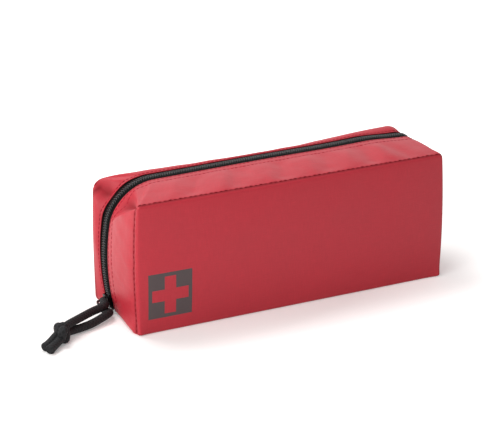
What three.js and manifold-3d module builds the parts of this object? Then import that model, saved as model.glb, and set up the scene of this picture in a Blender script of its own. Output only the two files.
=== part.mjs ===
// First aid kit: a soft zip bag that stands on its base, with its dressings inside.
// Millimetres, +Z up. X runs along the bag and the printed front panel faces -Y. The zip runs in
// an arch over both ends and the top, and the back of the bag with its narrow rim is the lid.
import * as THREE from "three";
import { mergeVertices } from "three/addons/utils/BufferGeometryUtils.js";
import Module from "manifold-3d";

const wasm = await Module();
wasm.setup();

// ---- Driving dimensions ----
// The bag
const bagLength = 250;
const bagDepth = 75;
const bagHeight = 97.5;
const clothThickness = 1;
const clearance = 0.3; // between pieces that touch
// Front seam
const frontTopRadius = 4;
const frontBottomRadius = 2;
const frontSideBulge = 1.6;
// Zip line: each end is an arc, met by a tighter arc at the top
const zipDepth = 17.5; // behind the middle of the bag
const zipTopRise = 1.1; // above the front seam
const zipSideRadius = 180;
const zipLeftOverhang = 0.7; // the zip's left end stands out past the front corner
const zipLeftLevel = 42; // height where it stands out most
const zipTopLeftRadius = 36;
const zipRightOverhang = 8.5; // the filled right end is pushed out further and higher up
const zipRightLevel = 60;
const zipTopRightRadius = 12;
const zipBottomRadius = 5;
const zipRightDroop = 2.6; // the top falls away before the right corner
const zipDroopStart = 85;
const zipDroopEnd = 125;
const topLean = 0.0165; // the fuller right end stands higher, per millimetre of length
const leanStart = 66; // the lean begins above this height
// Rear seam
const rearTopRadius = 9;
const rearBottomRadius = 8;
const rearSideBulge = 0.4;
const rearTopSag = 3.5; // the top edge of the back hangs in the middle
// Strips between the seams and the zip
const pillow = 1.2; // outward swell
const cornerDent = 2.2; // pucker where a square seam corner meets the round zip line
const bindingWidth = 6;
const bindingThickness = 1.2;
// The zip
const zipBandHalf = 6.3; // half the black band that shows between the red edges
const tapeSlot = 0.7; // from the middle of the zip to a tape's edge
const tapeHidden = 4; // tape under the red edge
const tapeThickness = 0.6;
const rowHalf = 3.1; // half the width of the closed chain
const rowThickness = 2.2;
const toothPitch = 4;
const toothDepth = 0.65; // how far a tooth reaches past the middle
const meshedGap = 0.22; // play between meshed teeth, on each side
const partedShift = 1.13; // further apart up the two ends, where the slider runs
const partedTop = 61;
const meshedFrom = 70;
const lidCut = 14.2; // height where the lid's rim parts from its feet
const stopLength = 2;
const stopHeight = 2;
const stopWidth = 2.6;
const stapleHeight = 7;
const stapleGap = 0.6; // from the bottom stop up to where the front row of teeth may start
// The slider
const sliderRestHeight = 8.2;
const sliderLength = 9.2;
const sliderTailHalf = 4.5;
const sliderShoulderHalf = 5.2;
const plateThickness = 1.1;
const wedgeWidth = 0.8;
const wedgeReach = 1; // the wedge ends this far past the slider's middle
const bridgeWidth = 2.4;
const bridgeLength = 7;
const bridgeBar = 1.2;
const ringWire = 1.3;
const ringPlay = 0.95; // room round the wire under the bridge
const ringReach = 3; // half the ring, away from the slider
const ringSpan = 4.6; // half the ring, along its pivot
const ringForward = 1.4; // the ring hangs toward the front by this much
// The pull cord
const cordDiameter = 6;
const cordStep = 9;
const knotHalf = { along: 5.6, across: 9, up: 7 };
// The contents
const largeBandageWidth = 80;
const smallBandageWidth = 60;
const bandageDiameter = 26;
const wrapStep = 0.9; // the loose end of a bandage's wrap
const reelDiameter = 50;
const reelWidth = 25;
const reelBore = 20;
const reelWall = 1.4;
const plasterDiameter = 44;
const sealEdge = 0.7; // a packet's sealed edge
const sealWidth = 4;
const packetCorner = 8;
const gloves = { width: reelDiameter, height: 70, thickness: 12 }; // as wide as the reel before them
const wipes = { width: reelDiameter, height: 62, thickness: 4 };
const plasterStrips = { width: 46, height: 60, thickness: 5 };
const woundPacketWidth = 98; // the compress and the dressings lie in one stack
const compress = { width: woundPacketWidth, height: 84, thickness: 12 };
const dressing = { width: woundPacketWidth, height: 72, thickness: 10 };
const triangular = { width: 96, height: 80, thickness: 9 };
const burnSheet = { width: 96, height: 82, thickness: 6 };
const foilBlanket = { width: 94, height: 78, thickness: 4 };
const leafletWidth = 66;
const leafletHeight = 84;
const leafThickness = 0.4;
const leafGap = 0.4;
const contentsLeft = -118; // left edge of the packed contents
const zoneGap = 2; // between the groups of contents
// The scissors
const bladeLength = 66;
const bladeRoot = 9;
const bladeTip = 2.4;
const bladeLap = 2; // a blade's edge passes the pivot line by this much
const shankLength = 56;
const shankWidth = 5.5;
const bowOffset = 14.5;
const bowHalfLength = 14;
const bowHalfHeight = 11;
const bowBar = 3.6;
const halfThickness = 2.2;
const rivetRadius = 1.9;
const rivetHeadRadius = 3.6;
const rivetHeadThickness = 0.9;
const scissorsTilt = 18; // degrees that the tips point up
const scissorsPivotX = -20;

// ---- Steps along the outlines ----
const steps = { bottom: 4, foot: 2, side: 5, corner: 9, top: 12 };
const fineSteps = { bottom: 12, foot: 6, side: 20, corner: 40, top: 30 };
const frontStripSpan = 3; // rows across the open middle of each strip
const rearStripSpan = 1;

// ---- Materials ----
const finish = (color, roughness, metalness = 0) =>
  new THREE.MeshStandardMaterial({ color, roughness, metalness });
const redCloth = () => finish(0xb9424c, 0.5);
const redBinding = () => finish(0xa8323c, 0.8);
const blackTape = () => finish(0x16161a, 0.85);
const greyNylon = () => finish(0x4c4e52, 0.45);
const blackMetal = () => finish(0x1b1c1f, 0.35, 0.7);
const blackCord = () => finish(0x1d1e20, 0.9);
const gauze = () => finish(0xeeece4, 0.95);
const plasterTape = () => finish(0xd9b48c, 0.8);
const whitePlastic = () => finish(0xe9eaea, 0.4);
const sachet = () => finish(0xdfe7ea, 0.3);
const paper = () => finish(0xf2efe6, 0.85);
const steel = () => finish(0xb4b8bc, 0.3, 1);

// ---- Helpers ----
const { degToRad, lerp, smoothstep } = THREE.MathUtils;
const kit = new THREE.Group();

// A solid through a row of slender sections that all have the same number of points: one face,
// then the other in reverse. Both faces are split along the same diagonals, so sheets nest.
function loft(sections) {
  const sides = sections[0].length;
  const points = sections.flat();
  const triangles = [];
  for (let k = 0; k + 1 < sections.length; k++) {
    for (let i = 0; i < sides; i++) {
      const a = k * sides + i;
      const b = k * sides + ((i + 1) % sides);
      if (i < sides / 2) triangles.push([a, b, b + sides], [a, b + sides, a + sides]);
      else triangles.push([a, b, a + sides], [b, b + sides, a + sides]);
    }
  }
  const last = points.length - sides;
  for (let i = 0; i + 1 < sides / 2; i++) {
    const [a, b, c, d] = [i, i + 1, sides - 2 - i, sides - 1 - i];
    triangles.push([a, c, b], [a, d, c]);
    triangles.push([last + a, last + b, last + c], [last + a, last + c, last + d]);
  }
  const volume = triangles.reduce((sum, [a, b, c]) => {
    const cross = new THREE.Vector3().crossVectors(points[b], points[c]);
    return sum + points[a].dot(cross);
  }, 0);
  const outward = volume > 0 ? triangles : triangles.map(([a, b, c]) => [a, c, b]);
  const geometry = new THREE.BufferGeometry().setFromPoints(points);
  geometry.setIndex(outward.flat());
  return geometry;
}

const shifted = ({ point, normal }, distance) => point.clone().addScaledVector(normal, distance);

// A sheet from rows of stations, each with a point and the way out: its outer face lies at
// that distance from the points.
function sheet(rows, outer, thickness) {
  return loft(rows[0].map((_, i) => {
    const column = rows.map((row) => row[i]);
    const outerEdge = column.map((station) => shifted(station, outer));
    const innerEdge = column.map((station) => shifted(station, outer - thickness));
    return [...outerEdge, ...innerEdge.reverse()];
  }));
}

function toManifold(geometry) {
  const bare = geometry.clone();
  bare.deleteAttribute("normal");
  bare.deleteAttribute("uv");
  const merged = mergeVertices(bare);
  return new wasm.Manifold(new wasm.Mesh({
    numProp: 3,
    vertProperties: new Float32Array(merged.attributes.position.array),
    triVerts: new Uint32Array(merged.index.array),
  }));
}

function fromManifold(manifold) {
  const { vertProperties, triVerts } = manifold.getMesh();
  const geometry = new THREE.BufferGeometry();
  geometry.setAttribute("position", new THREE.BufferAttribute(vertProperties, 3));
  geometry.setIndex(new THREE.BufferAttribute(triVerts, 1));
  return geometry;
}

function join(...geometries) {
  return fromManifold(geometries.map(toManifold).reduce((sum, next) => sum.add(next)));
}

function cut(body, ...tools) {
  const rest = tools.map(toManifold).reduce((left, tool) => left.subtract(tool), toManifold(body));
  return fromManifold(rest);
}

function addPiece(name, geometry, material, parent = kit) {
  const mesh = new THREE.Mesh(geometry, material);
  mesh.name = name;
  parent.add(mesh);
  return mesh;
}

// A box given by its two corners.
function box(x0, x1, y0, y1, z0, z1) {
  return new THREE.BoxGeometry(x1 - x0, y1 - y0, z1 - z0)
    .translate((x0 + x1) / 2, (y0 + y1) / 2, (z0 + z1) / 2);
}

// A flat plate from an outline in X and Z, from depth y to y + thickness.
function uprightPlate(shape, y, thickness, curveSegments = 10) {
  return new THREE.ExtrudeGeometry(shape, { depth: thickness, bevelEnabled: false, curveSegments })
    .rotateX(Math.PI / 2)
    .translate(0, y + thickness, 0);
}

// ---- Cross outlines of the bag ----
const halfLength = bagLength / 2;
const halfDepth = bagDepth / 2;

// An end that bulges from a straight line between floor and top.
const bulgedEnd = (bulge, topRadius) => {
  const level = bagHeight / 2;
  const sideRadius = (level ** 2 + bulge ** 2) / (2 * bulge);
  return { reach: halfLength + bulge, sideRadius, level, topRadius };
};
const frontSeam = {
  left: bulgedEnd(frontSideBulge, frontTopRadius),
  right: bulgedEnd(frontSideBulge, frontTopRadius),
  top: bagHeight,
  bottomRadius: frontBottomRadius,
  lift: () => 0,
};
const zipLine = {
  left: {
    reach: halfLength + zipLeftOverhang, sideRadius: zipSideRadius,
    level: zipLeftLevel, topRadius: zipTopLeftRadius,
  },
  right: {
    reach: halfLength + zipRightOverhang, sideRadius: zipSideRadius,
    level: zipRightLevel, topRadius: zipTopRightRadius,
  },
  top: bagHeight + zipTopRise,
  bottomRadius: zipBottomRadius,
  lift: (x) => topLean * x - zipRightDroop * smoothstep(x, zipDroopStart, zipDroopEnd),
};
const rearSeam = {
  left: bulgedEnd(rearSideBulge, rearTopRadius),
  right: bulgedEnd(rearSideBulge, rearTopRadius),
  top: bagHeight,
  bottomRadius: rearBottomRadius,
  lift: (x) => topLean * x - rearTopSag * Math.cos((Math.PI * x) / bagLength) ** 2,
};

// One end of an outline, from the floor up to the top edge.
function outlineEnd(end, { bottomRadius, top }, cutHeight, count) {
  const { reach, sideRadius, level, topRadius } = end;
  const centre = reach - sideRadius;
  const tangentCentre = (height, radius) =>
    centre + Math.sqrt((sideRadius - radius) ** 2 - (height - level) ** 2);
  const bottomCentre = tangentCentre(bottomRadius, bottomRadius);
  const topHeight = top - topRadius;
  const topCentre = tangentCentre(topHeight, topRadius);
  const lowAngle = Math.atan2(bottomRadius - level, bottomCentre - centre);
  const cutAngle = Math.asin((cutHeight - level) / sideRadius);
  const highAngle = Math.atan2(topHeight - level, topCentre - centre);
  const stations = [];
  const arc = (x, z, radius, from, to, pieces) => {
    for (let k = 0; k < pieces; k++) {
      const angle = lerp(from, to, k / pieces);
      const [nx, nz] = [Math.cos(angle), Math.sin(angle)];
      stations.push({ x: x + radius * nx, z: z + radius * nz, nx, nz });
    }
  };
  arc(bottomCentre, bottomRadius, bottomRadius, -Math.PI / 2, lowAngle, count.bottom);
  arc(centre, level, sideRadius, lowAngle, cutAngle, count.foot);
  arc(centre, level, sideRadius, cutAngle, highAngle, count.side);
  arc(topCentre, topHeight, topRadius, highAngle, Math.PI / 2, count.corner);
  return { stations, topCentre };
}

// Stations round an outline from the left foot over the top to the right foot.
function outline(line, cutHeight = lidCut, count = steps) {
  const left = outlineEnd(line.left, line, cutHeight, count);
  const right = outlineEnd(line.right, line, cutHeight, count);
  const top = Array.from({ length: count.top + 1 }, (_, k) => {
    const x = lerp(-left.topCentre, right.topCentre, k / count.top);
    return { x, z: line.top, nx: 0, nz: 1 };
  });
  const mirrored = left.stations.map(({ x, z, nx, nz }) => ({ x: -x, z, nx: -nx, nz }));
  return [...mirrored, ...top, ...right.stations.reverse()].map(({ x, z, nx, nz }) => {
    const lift = line.lift(x) * smoothstep(z, leanStart, line.top);
    return { x, z: z + lift, nx, nz };
  });
}
const footCount = steps.bottom + steps.foot;

// ---- Cloth strips between a seam and the zip ----
// The strip's point at a station, for a share of the way from the seam to the zip's edge.
function makeStrip(seam, seamDepth, side, cutHeight) {
  const seamStations = outline(seam, cutHeight);
  const zipStations = outline(zipLine, cutHeight);
  const edgeDepth = zipDepth + side * zipBandHalf;
  const width = Math.abs(edgeDepth - seamDepth);
  const row = (share) => seamStations.map((from, i) => {
    const to = zipStations[i];
    const normal = new THREE.Vector3(lerp(from.nx, to.nx, share), 0, lerp(from.nz, to.nz, share));
    normal.normalize();
    const corner = 2 * Math.abs(normal.x * normal.z);
    const offFloor = 1 - Math.max(0, -normal.z);
    const swell = lerp(pillow, -cornerDent, corner) * Math.sin(Math.PI * share) * offFloor;
    const [x, z] = [lerp(from.x, to.x, share), lerp(from.z, to.z, share)];
    const point = new THREE.Vector3(x, lerp(seamDepth, edgeDepth, share), z);
    return { point: point.addScaledVector(normal, swell), normal };
  });
  const zipRow = (offset) => zipStations.map(({ x, z, nx, nz }) => ({
    point: new THREE.Vector3(x, zipDepth + side * offset, z),
    normal: new THREE.Vector3(nx, 0, nz),
  }));
  return { row, zipRow, width, count: seamStations.length };
}
const frontEdge = -halfDepth + clothThickness + clearance;
const rearEdge = halfDepth - clothThickness - clearance;
const frontStrip = makeStrip(frontSeam, frontEdge, -1, lidCut);
const rimStrip = makeStrip(rearSeam, rearEdge, 1, lidCut);
const footStrip = makeStrip(rearSeam, rearEdge, 1, lidCut - clearance);

const spread = (count, from, to) =>
  Array.from({ length: count + 1 }, (_, j) => lerp(from, to, j / count));
const bindingShares = (strip) => spread(2, 0, bindingWidth / strip.width);
const hiddenShares = (strip) => spread(1, 1 - tapeHidden / strip.width, 1);
const gussetRows = (strip, span) => {
  const [bound, hidden] = [bindingShares(strip), hiddenShares(strip)];
  const middle = spread(span, bound.at(-1), hidden[0]).slice(1, -1);
  return [...bound, ...middle, ...hidden].map(strip.row);
};
const tapeRows = (strip) => [...hiddenShares(strip).map(strip.row), strip.zipRow(tapeSlot)];
const bindingRows = (strip) => bindingShares(strip).map(strip.row);
const between = (rows, from, to) => rows.map((row) => row.slice(from, to));
const stationCount = frontStrip.count;
const leftFoot = [0, footCount + 1];
const rightFoot = [stationCount - footCount - 1, stationCount];
const rim = [footCount, stationCount - footCount];
const underCloth = -clothThickness - clearance;

const frontRows = gussetRows(frontStrip, frontStripSpan);
const footRows = gussetRows(footStrip, rearStripSpan);

function addStrips() {
  const rimRows = between(gussetRows(rimStrip, rearStripSpan), ...rim);
  addPiece("front_gusset", sheet(frontRows, 0, clothThickness), redCloth());
  addPiece("rear_gusset", sheet(rimRows, 0, clothThickness), redCloth());
  const feet = { left: leftFoot, right: rightFoot };
  for (const [end, range] of Object.entries(feet)) {
    const foot = sheet(between(footRows, ...range), 0, clothThickness);
    addPiece(`rear_gusset_foot_${end}`, foot, redCloth());
    const tapeEnd = sheet(between(tapeRows(footStrip), ...range), underCloth, tapeThickness);
    addPiece(`rear_tape_end_${end}`, tapeEnd, blackTape());
  }
  addPiece("front_zip_tape", sheet(tapeRows(frontStrip), underCloth, tapeThickness), blackTape());
  const rimTape = between(tapeRows(rimStrip), ...rim);
  addPiece("rear_zip_tape", sheet(rimTape, underCloth, tapeThickness), blackTape());
  const overBottomCorner = [steps.bottom, stationCount - steps.bottom];
  const frontBinding = between(bindingRows(frontStrip), ...overBottomCorner);
  addPiece("front_seam_binding", sheet(frontBinding, underCloth, bindingThickness), redBinding());
  const rearBinding = between(bindingRows(rimStrip), ...rim);
  addPiece("rear_seam_binding", sheet(rearBinding, underCloth, bindingThickness), redBinding());
}

// ---- Panels ----
const panelShape = (stations) =>
  new THREE.Shape(stations.map(({ x, z }) => new THREE.Vector2(x, z)));

// The front panel and the base are one wrapped cloth.
function addFrontBasePanel() {
  const front = uprightPlate(panelShape(outline(frontSeam)), -halfDepth, clothThickness);
  const edge = (rows, index, inward) => rows.map((row) => {
    const { x, y } = row.at(index).point;
    return new THREE.Vector2(x + inward * clearance, y);
  });
  const rearFirst = [...footRows].reverse();
  const leftEdge = [...edge(frontRows, 0, 1), ...edge(rearFirst, 0, 1)];
  const rightEdge = [...edge(frontRows, -1, -1), ...edge(rearFirst, -1, -1)];
  leftEdge[0].y = -halfDepth;
  rightEdge[0].y = -halfDepth;
  leftEdge.at(-1).y = halfDepth - clearance;
  rightEdge.at(-1).y = halfDepth - clearance;
  const baseShape = new THREE.Shape([...leftEdge, ...rightEdge.reverse()]);
  const base = new THREE.ExtrudeGeometry(baseShape, { depth: clothThickness, bevelEnabled: false });
  addPiece("front_base_panel", join(front, base), redCloth());
}

// The back of the bag, cut off above the base.
function addRearPanel() {
  const sill = clothThickness + clearance;
  const whole = uprightPlate(panelShape(outline(rearSeam)), halfDepth - clothThickness, clothThickness);
  const below = box(-bagLength, bagLength, 0, bagDepth, -sill, sill);
  addPiece("rear_panel", cut(whole, below), redCloth());
}

// ---- The zip's teeth ----
// Points along the zip line by distance.
const zipPath = outline(zipLine, lidCut, fineSteps).map(({ x, z, nx, nz }) => ({
  point: new THREE.Vector3(x, zipDepth, z),
  normal: new THREE.Vector3(nx, 0, nz),
}));
const zipDistances = zipPath.reduce((list, { point }, i) => {
  const step = i === 0 ? 0 : point.distanceTo(zipPath[i - 1].point);
  return [...list, (list.at(-1) ?? 0) + step];
}, []);

function zipStation(distance) {
  const next = Math.max(1, zipDistances.findIndex((value) => value >= distance));
  const [low, high] = [zipDistances[next - 1], zipDistances[next]];
  const share = (distance - low) / (high - low);
  return {
    point: zipPath[next - 1].point.clone().lerp(zipPath[next].point, share),
    normal: zipPath[next - 1].normal.clone().lerp(zipPath[next].normal, share).normalize(),
  };
}

// A row of teeth: a comb whose inner edge zigzags, meshed with the other row over the top.
function toothRow(side, foot) {
  const halfPitch = toothPitch / 2;
  const count = Math.floor(zipDistances.at(-1) / halfPitch);
  const sections = [];
  for (let k = 0; k <= count; k++) {
    const { point, normal } = zipStation(k * halfPitch);
    if (point.z < foot) continue;
    const zigzag = k % 2 === 0 ? toothDepth : -toothDepth;
    const parted = 1 - smoothstep(point.z, partedTop, meshedFrom);
    const innerEdge = zigzag + side * (meshedGap + partedShift * parted);
    const corner = (across, out) =>
      point.clone().addScaledVector(normal, out).setY(zipDepth + across);
    const [low, high] = [-clothThickness, rowThickness - clothThickness];
    const outerEdge = side * rowHalf;
    sections.push([
      corner(outerEdge, low), corner(outerEdge, high), corner(innerEdge, high), corner(innerEdge, low),
    ]);
  }
  return loft(sections);
}

// The lowest point of the zip line at one end that reaches a height.
function zipPointAt(end, height) {
  const path = end < 0 ? zipPath : [...zipPath].reverse();
  return path.find((station) => station.point.z >= height);
}

// A small block across the zip at a height on one end, between two distances across.
function zipBlock(end, height, from, to) {
  const { point, normal } = zipPointAt(end, height);
  const along = new THREE.Vector3().crossVectors(new THREE.Vector3(0, 1, 0), normal);
  const place = new THREE.Matrix4().makeBasis(along, new THREE.Vector3(0, 1, 0), normal);
  const block = box(-stopLength / 2, stopLength / 2, from, to, -clothThickness, stopHeight / 2);
  return block.applyMatrix4(place.setPosition(point));
}

function addZip() {
  const stapleTop = zipPointAt(1, stapleHeight).point.z + stopLength / 2;
  addPiece("front_zip_teeth", toothRow(-1, stapleTop + stapleGap), greyNylon());
  addPiece("rear_zip_teeth", toothRow(1, lidCut + clearance), greyNylon());
  const stopInner = tapeSlot + clearance;
  const stopOuter = stopInner + stopWidth;
  addPiece("zip_top_stop_front", zipBlock(-1, stopHeight, -stopOuter, -stopInner), blackMetal());
  addPiece("zip_top_stop_rear", zipBlock(-1, stopHeight, stopInner, stopOuter), blackMetal());
  addPiece("zip_bottom_stop", zipBlock(1, stapleHeight, -rowHalf, rowHalf), blackMetal());
}

// ---- The slider, its ring and the pull cord ----
// The left end of the zip is an arc about this centre, and the slider runs round it.
const runCentreX = -(zipLine.left.reach - zipSideRadius);
const sliderAngle = Math.asin((sliderRestHeight - zipLeftLevel) / zipSideRadius);
const sliderOut = new THREE.Vector3(-Math.cos(sliderAngle), 0, Math.sin(sliderAngle));
const sliderUp = new THREE.Vector3(Math.sin(sliderAngle), 0, Math.cos(sliderAngle));
const towardRear = new THREE.Vector3(0, 1, 0);
const sliderPlace = new THREE.Matrix4()
  .makeBasis(sliderUp, towardRear, sliderOut)
  .setPosition(runCentreX + zipSideRadius * sliderOut.x, zipDepth, sliderRestHeight);

// Heights outward from the zip line
const rowTop = rowThickness - clothThickness;
const outerPlateLow = rowTop + clearance;
const outerPlateHigh = outerPlateLow + plateThickness;
const tapeInner = -clothThickness - clearance - tapeThickness;
const innerPlateHigh = tapeInner - clearance;
const innerPlateLow = innerPlateHigh - plateThickness;
const bridgeClear = ringWire + 2 * ringPlay;
const ringPivot = outerPlateHigh + bridgeClear / 2;

// Drawn along the zip (x, up) and across it (y), thickness outward.
function sliderPlan() {
  const half = sliderLength / 2;
  const shape = new THREE.Shape();
  shape.moveTo(half, sliderTailHalf * 0.7);
  shape.quadraticCurveTo(half, sliderTailHalf, half - plateThickness, sliderTailHalf);
  shape.lineTo(-half / 2, sliderShoulderHalf);
  shape.quadraticCurveTo(-half, sliderShoulderHalf, -half, sliderShoulderHalf / 2);
  shape.lineTo(-half, -sliderShoulderHalf / 2);
  shape.quadraticCurveTo(-half, -sliderShoulderHalf, -half / 2, -sliderShoulderHalf);
  shape.lineTo(half - plateThickness, -sliderTailHalf);
  shape.quadraticCurveTo(half, -sliderTailHalf, half, -sliderTailHalf * 0.7);
  return shape;
}

function bridgeGeometry() {
  const half = bridgeLength / 2;
  const top = outerPlateHigh + bridgeClear + bridgeBar;
  const sunk = outerPlateHigh - plateThickness / 2;
  const turn = bridgeBar * 1.5;
  const shape = new THREE.Shape();
  shape.moveTo(-half, sunk);
  shape.lineTo(-half, top - turn);
  shape.quadraticCurveTo(-half, top, turn - half, top);
  shape.lineTo(half - turn, top);
  shape.quadraticCurveTo(half, top, half, top - turn);
  shape.lineTo(half, sunk);
  const inside = half - bridgeBar;
  const eye = [[-inside, 0], [inside, 0], [inside, bridgeClear], [-inside, bridgeClear]];
  shape.holes.push(new THREE.Path(eye.map(([x, y]) => new THREE.Vector2(x, outerPlateHigh + y))));
  return uprightPlate(shape, -bridgeWidth / 2, bridgeWidth, 4);
}

function sliderGeometry() {
  const plan = new THREE.ExtrudeGeometry(sliderPlan(), {
    depth: outerPlateHigh - innerPlateLow, bevelEnabled: false, curveSegments: 3,
  }).translate(0, 0, innerPlateLow);
  const channelHalf = rowHalf + clearance + toothDepth / 4;
  const flangeFoot = underCloth + clearance;
  const reach = sliderLength;
  const channel = box(-reach, reach, -channelHalf, channelHalf, innerPlateHigh, outerPlateLow);
  const tapeSlots = box(-reach, reach, -reach, reach, innerPlateHigh, flangeFoot);
  const wedgeHalf = wedgeWidth / 2;
  const lap = plateThickness / 4;
  const wedge = box(
    clearance - sliderLength / 2, wedgeReach, -wedgeHalf, wedgeHalf,
    innerPlateHigh - lap, outerPlateLow + lap,
  );
  return join(cut(plan, channel, tapeSlots), wedge, bridgeGeometry());
}

// An oval wire ring through the bridge, which the cord is looped through.
function ringGeometry() {
  const shape = new THREE.Shape();
  shape.absellipse(0, 0, ringReach + ringWire / 2, ringSpan + ringWire / 2, 0, 2 * Math.PI);
  const hole = new THREE.Path();
  hole.absellipse(0, 0, ringReach - ringWire / 2, ringSpan - ringWire / 2, 0, 2 * Math.PI);
  shape.holes.push(hole);
  return new THREE.ExtrudeGeometry(shape, { depth: ringWire, bevelEnabled: false, curveSegments: 12 })
    .translate(ringReach - ringWire / 2, -ringForward, -ringWire / 2);
}

function addSlider() {
  addPiece("zip_slider", sliderGeometry().applyMatrix4(sliderPlace), blackMetal());
  const pivot = new THREE.Vector3(0, 0, ringPivot).applyMatrix4(sliderPlace);
  const ring = ringGeometry().rotateY(Math.PI).translate(pivot.x, pivot.y, pivot.z);
  addPiece("puller_ring", ring, blackMetal());
}

// The doubled cord from the ring to its knot, and the two tails beyond it.
const knotCentre = new THREE.Vector3(-176.7, -21.3, 7.1);
const knotTurn = -11.5; // degrees that the knot is turned on the floor
const cordRoutes = {
  pull_cord_upper: [
    [-129.9, 10.3, 8.6], [-131, 6.4, 9.5], [-134.4, 2.9, 10], [-144.6, -1.2, 9.8],
    [-157.3, -8.5, 9.9], [-169.2, -15.9, 10.2], [-173.5, -18.5, 10],
  ],
  pull_cord_lower: [
    [-129, 2.8, 4.7], [-130.4, 0.6, 5.4], [-132.9, -1.6, 5.6], [-136, -3.3, 5.2], [-147.9, -8.3, 3.9],
    [-158.7, -11.7, 3.7], [-168.2, -14.4, 4], [-172.5, -16.8, 4.2],
  ],
  cord_tail_upper: [
    [-177, -18.5, 6], [-187.4, -25.1, 4.2], [-194.4, -30.1, 3.1],
  ],
  cord_tail_lower: [
    [-177.6, -25.4, 5], [-186.9, -34.2, 3.8], [-192.6, -38.2, 3.1],
  ],
};

function knotGeometry(margin) {
  const { along, across, up } = knotHalf;
  return new THREE.SphereGeometry(1, 14, 9)
    .rotateX(Math.PI / 2)
    .scale(along + margin, across + margin, up + margin)
    .rotateZ(degToRad(knotTurn))
    .translate(knotCentre.x, knotCentre.y, knotCentre.z);
}

function addPullCord() {
  const section = new THREE.Shape();
  section.absarc(0, 0, cordDiameter / 2, 0, 2 * Math.PI);
  const round = new THREE.Shape(section.getPoints(4).slice(0, -1));
  for (const [name, route] of Object.entries(cordRoutes)) {
    const path = new THREE.CatmullRomCurve3(route.map((point) => new THREE.Vector3(...point)));
    const tube = new THREE.ExtrudeGeometry(round, {
      steps: Math.round(path.getLength() / cordStep), extrudePath: path,
    });
    addPiece(name, cut(tube, knotGeometry(clearance)), blackCord());
  }
  addPiece("cord_knot", knotGeometry(0), blackCord());
}

// ---- The contents ----
const floorOfContents = clothThickness + clearance;
const frontOfContents = frontEdge;

// A wrapped gauze roll along X: the wrap's end makes a small step.
function bandage(width) {
  const shape = new THREE.Shape();
  const turns = 18;
  for (let k = 0; k <= turns; k++) {
    const angle = (k / turns) * 2 * Math.PI;
    const radius = bandageDiameter / 2 - (wrapStep * k) / turns;
    const [y, z] = [radius * Math.cos(angle), radius * Math.sin(angle)];
    if (k === 0) shape.moveTo(y, z);
    else shape.lineTo(y, z);
  }
  return new THREE.ExtrudeGeometry(shape, { depth: width, bevelEnabled: false })
    .rotateX(Math.PI / 2)
    .rotateZ(Math.PI / 2);
}

// Two columns of bandages, each lying on the one below.
const bandageLeft = contentsLeft + reelDiameter + zoneGap;
function addBandages() {
  const columns = [
    ["large_bandage_1", "large_bandage_2", "small_bandage_1"],
    ["large_bandage_3", "small_bandage_2"],
  ];
  columns.forEach((names, column) => names.forEach((name, level) => {
    const width = name.startsWith("large") ? largeBandageWidth : smallBandageWidth;
    const rise = bandageDiameter + clearance;
    const y = frontOfContents + bandageDiameter / 2 + column * rise;
    const z = floorOfContents + bandageDiameter / 2 + level * rise;
    addPiece(name, bandage(width).translate(bandageLeft, y, z), gauze());
  }));
}

// Sticking plaster wound on a plastic spool, standing on its rim.
function addPlasterSpool() {
  const halfWidth = reelWidth / 2;
  const bore = reelBore / 2;
  const drum = bore + reelWall;
  const rimRadius = reelDiameter / 2;
  const cheek = halfWidth - reelWall;
  const spoolProfile = [
    [bore, -halfWidth], [rimRadius, -halfWidth], [rimRadius, -cheek], [drum, -cheek],
    [drum, cheek], [rimRadius, cheek], [rimRadius, halfWidth], [bore, halfWidth], [bore, -halfWidth],
  ];
  const tapeDrum = drum + clearance;
  const tapeHalf = cheek - clearance;
  const tapeRim = plasterDiameter / 2;
  const tapeProfile = [
    [tapeDrum, -tapeHalf], [tapeRim, -tapeHalf], [tapeRim, tapeHalf], [tapeDrum, tapeHalf],
    [tapeDrum, -tapeHalf],
  ];
  const turned = (profile) =>
    new THREE.LatheGeometry(profile.map(([r, y]) => new THREE.Vector2(r, y)), 20)
      .translate(contentsLeft + rimRadius, frontOfContents + halfWidth, floorOfContents + rimRadius);
  addPiece("plaster_spool", turned(spoolProfile), whitePlastic());
  addPiece("plaster_tape", turned(tapeProfile), plasterTape());
}

// A sachet standing on its lower edge: a soft pad inside flat sealed edges.
function packet({ width, height, thickness }) {
  const seal = box(-width / 2, width / 2, -sealEdge / 2, sealEdge / 2, 0, height);
  const [padWidth, padHeight] = [width / 2 - sealWidth, height / 2 - sealWidth];
  const crown = (thickness - sealEdge) / 2;
  const flat = [padWidth - crown, padHeight - crown];
  const shape = new THREE.Shape();
  const chamfer = packetCorner / 2;
  const quarter = [[flat[0], flat[1] - chamfer], [flat[0] - chamfer, flat[1]]];
  const corners = [
    ...quarter, ...quarter.map(([x, z]) => [-x, z]).reverse(),
    ...quarter.map(([x, z]) => [-x, -z]), ...quarter.map(([x, z]) => [x, -z]).reverse(),
  ];
  shape.setFromPoints(corners.map(([x, z]) => new THREE.Vector2(x, z)));
  const pad = new THREE.ExtrudeGeometry(shape, {
    depth: sealEdge, bevelThickness: crown, bevelSize: crown, bevelSegments: 2,
  }).rotateX(Math.PI / 2).translate(0, sealEdge / 2, height / 2);
  return join(seal, pad);
}

// Packets stand one behind the other.
function addPacketStack(centreX, frontY, stack) {
  let y = frontY;
  for (const [name, size, material] of stack) {
    const centreY = y + size.thickness / 2;
    addPiece(name, packet(size).translate(centreX, centreY, floorOfContents), material());
    y += size.thickness + clearance;
  }
}

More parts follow.
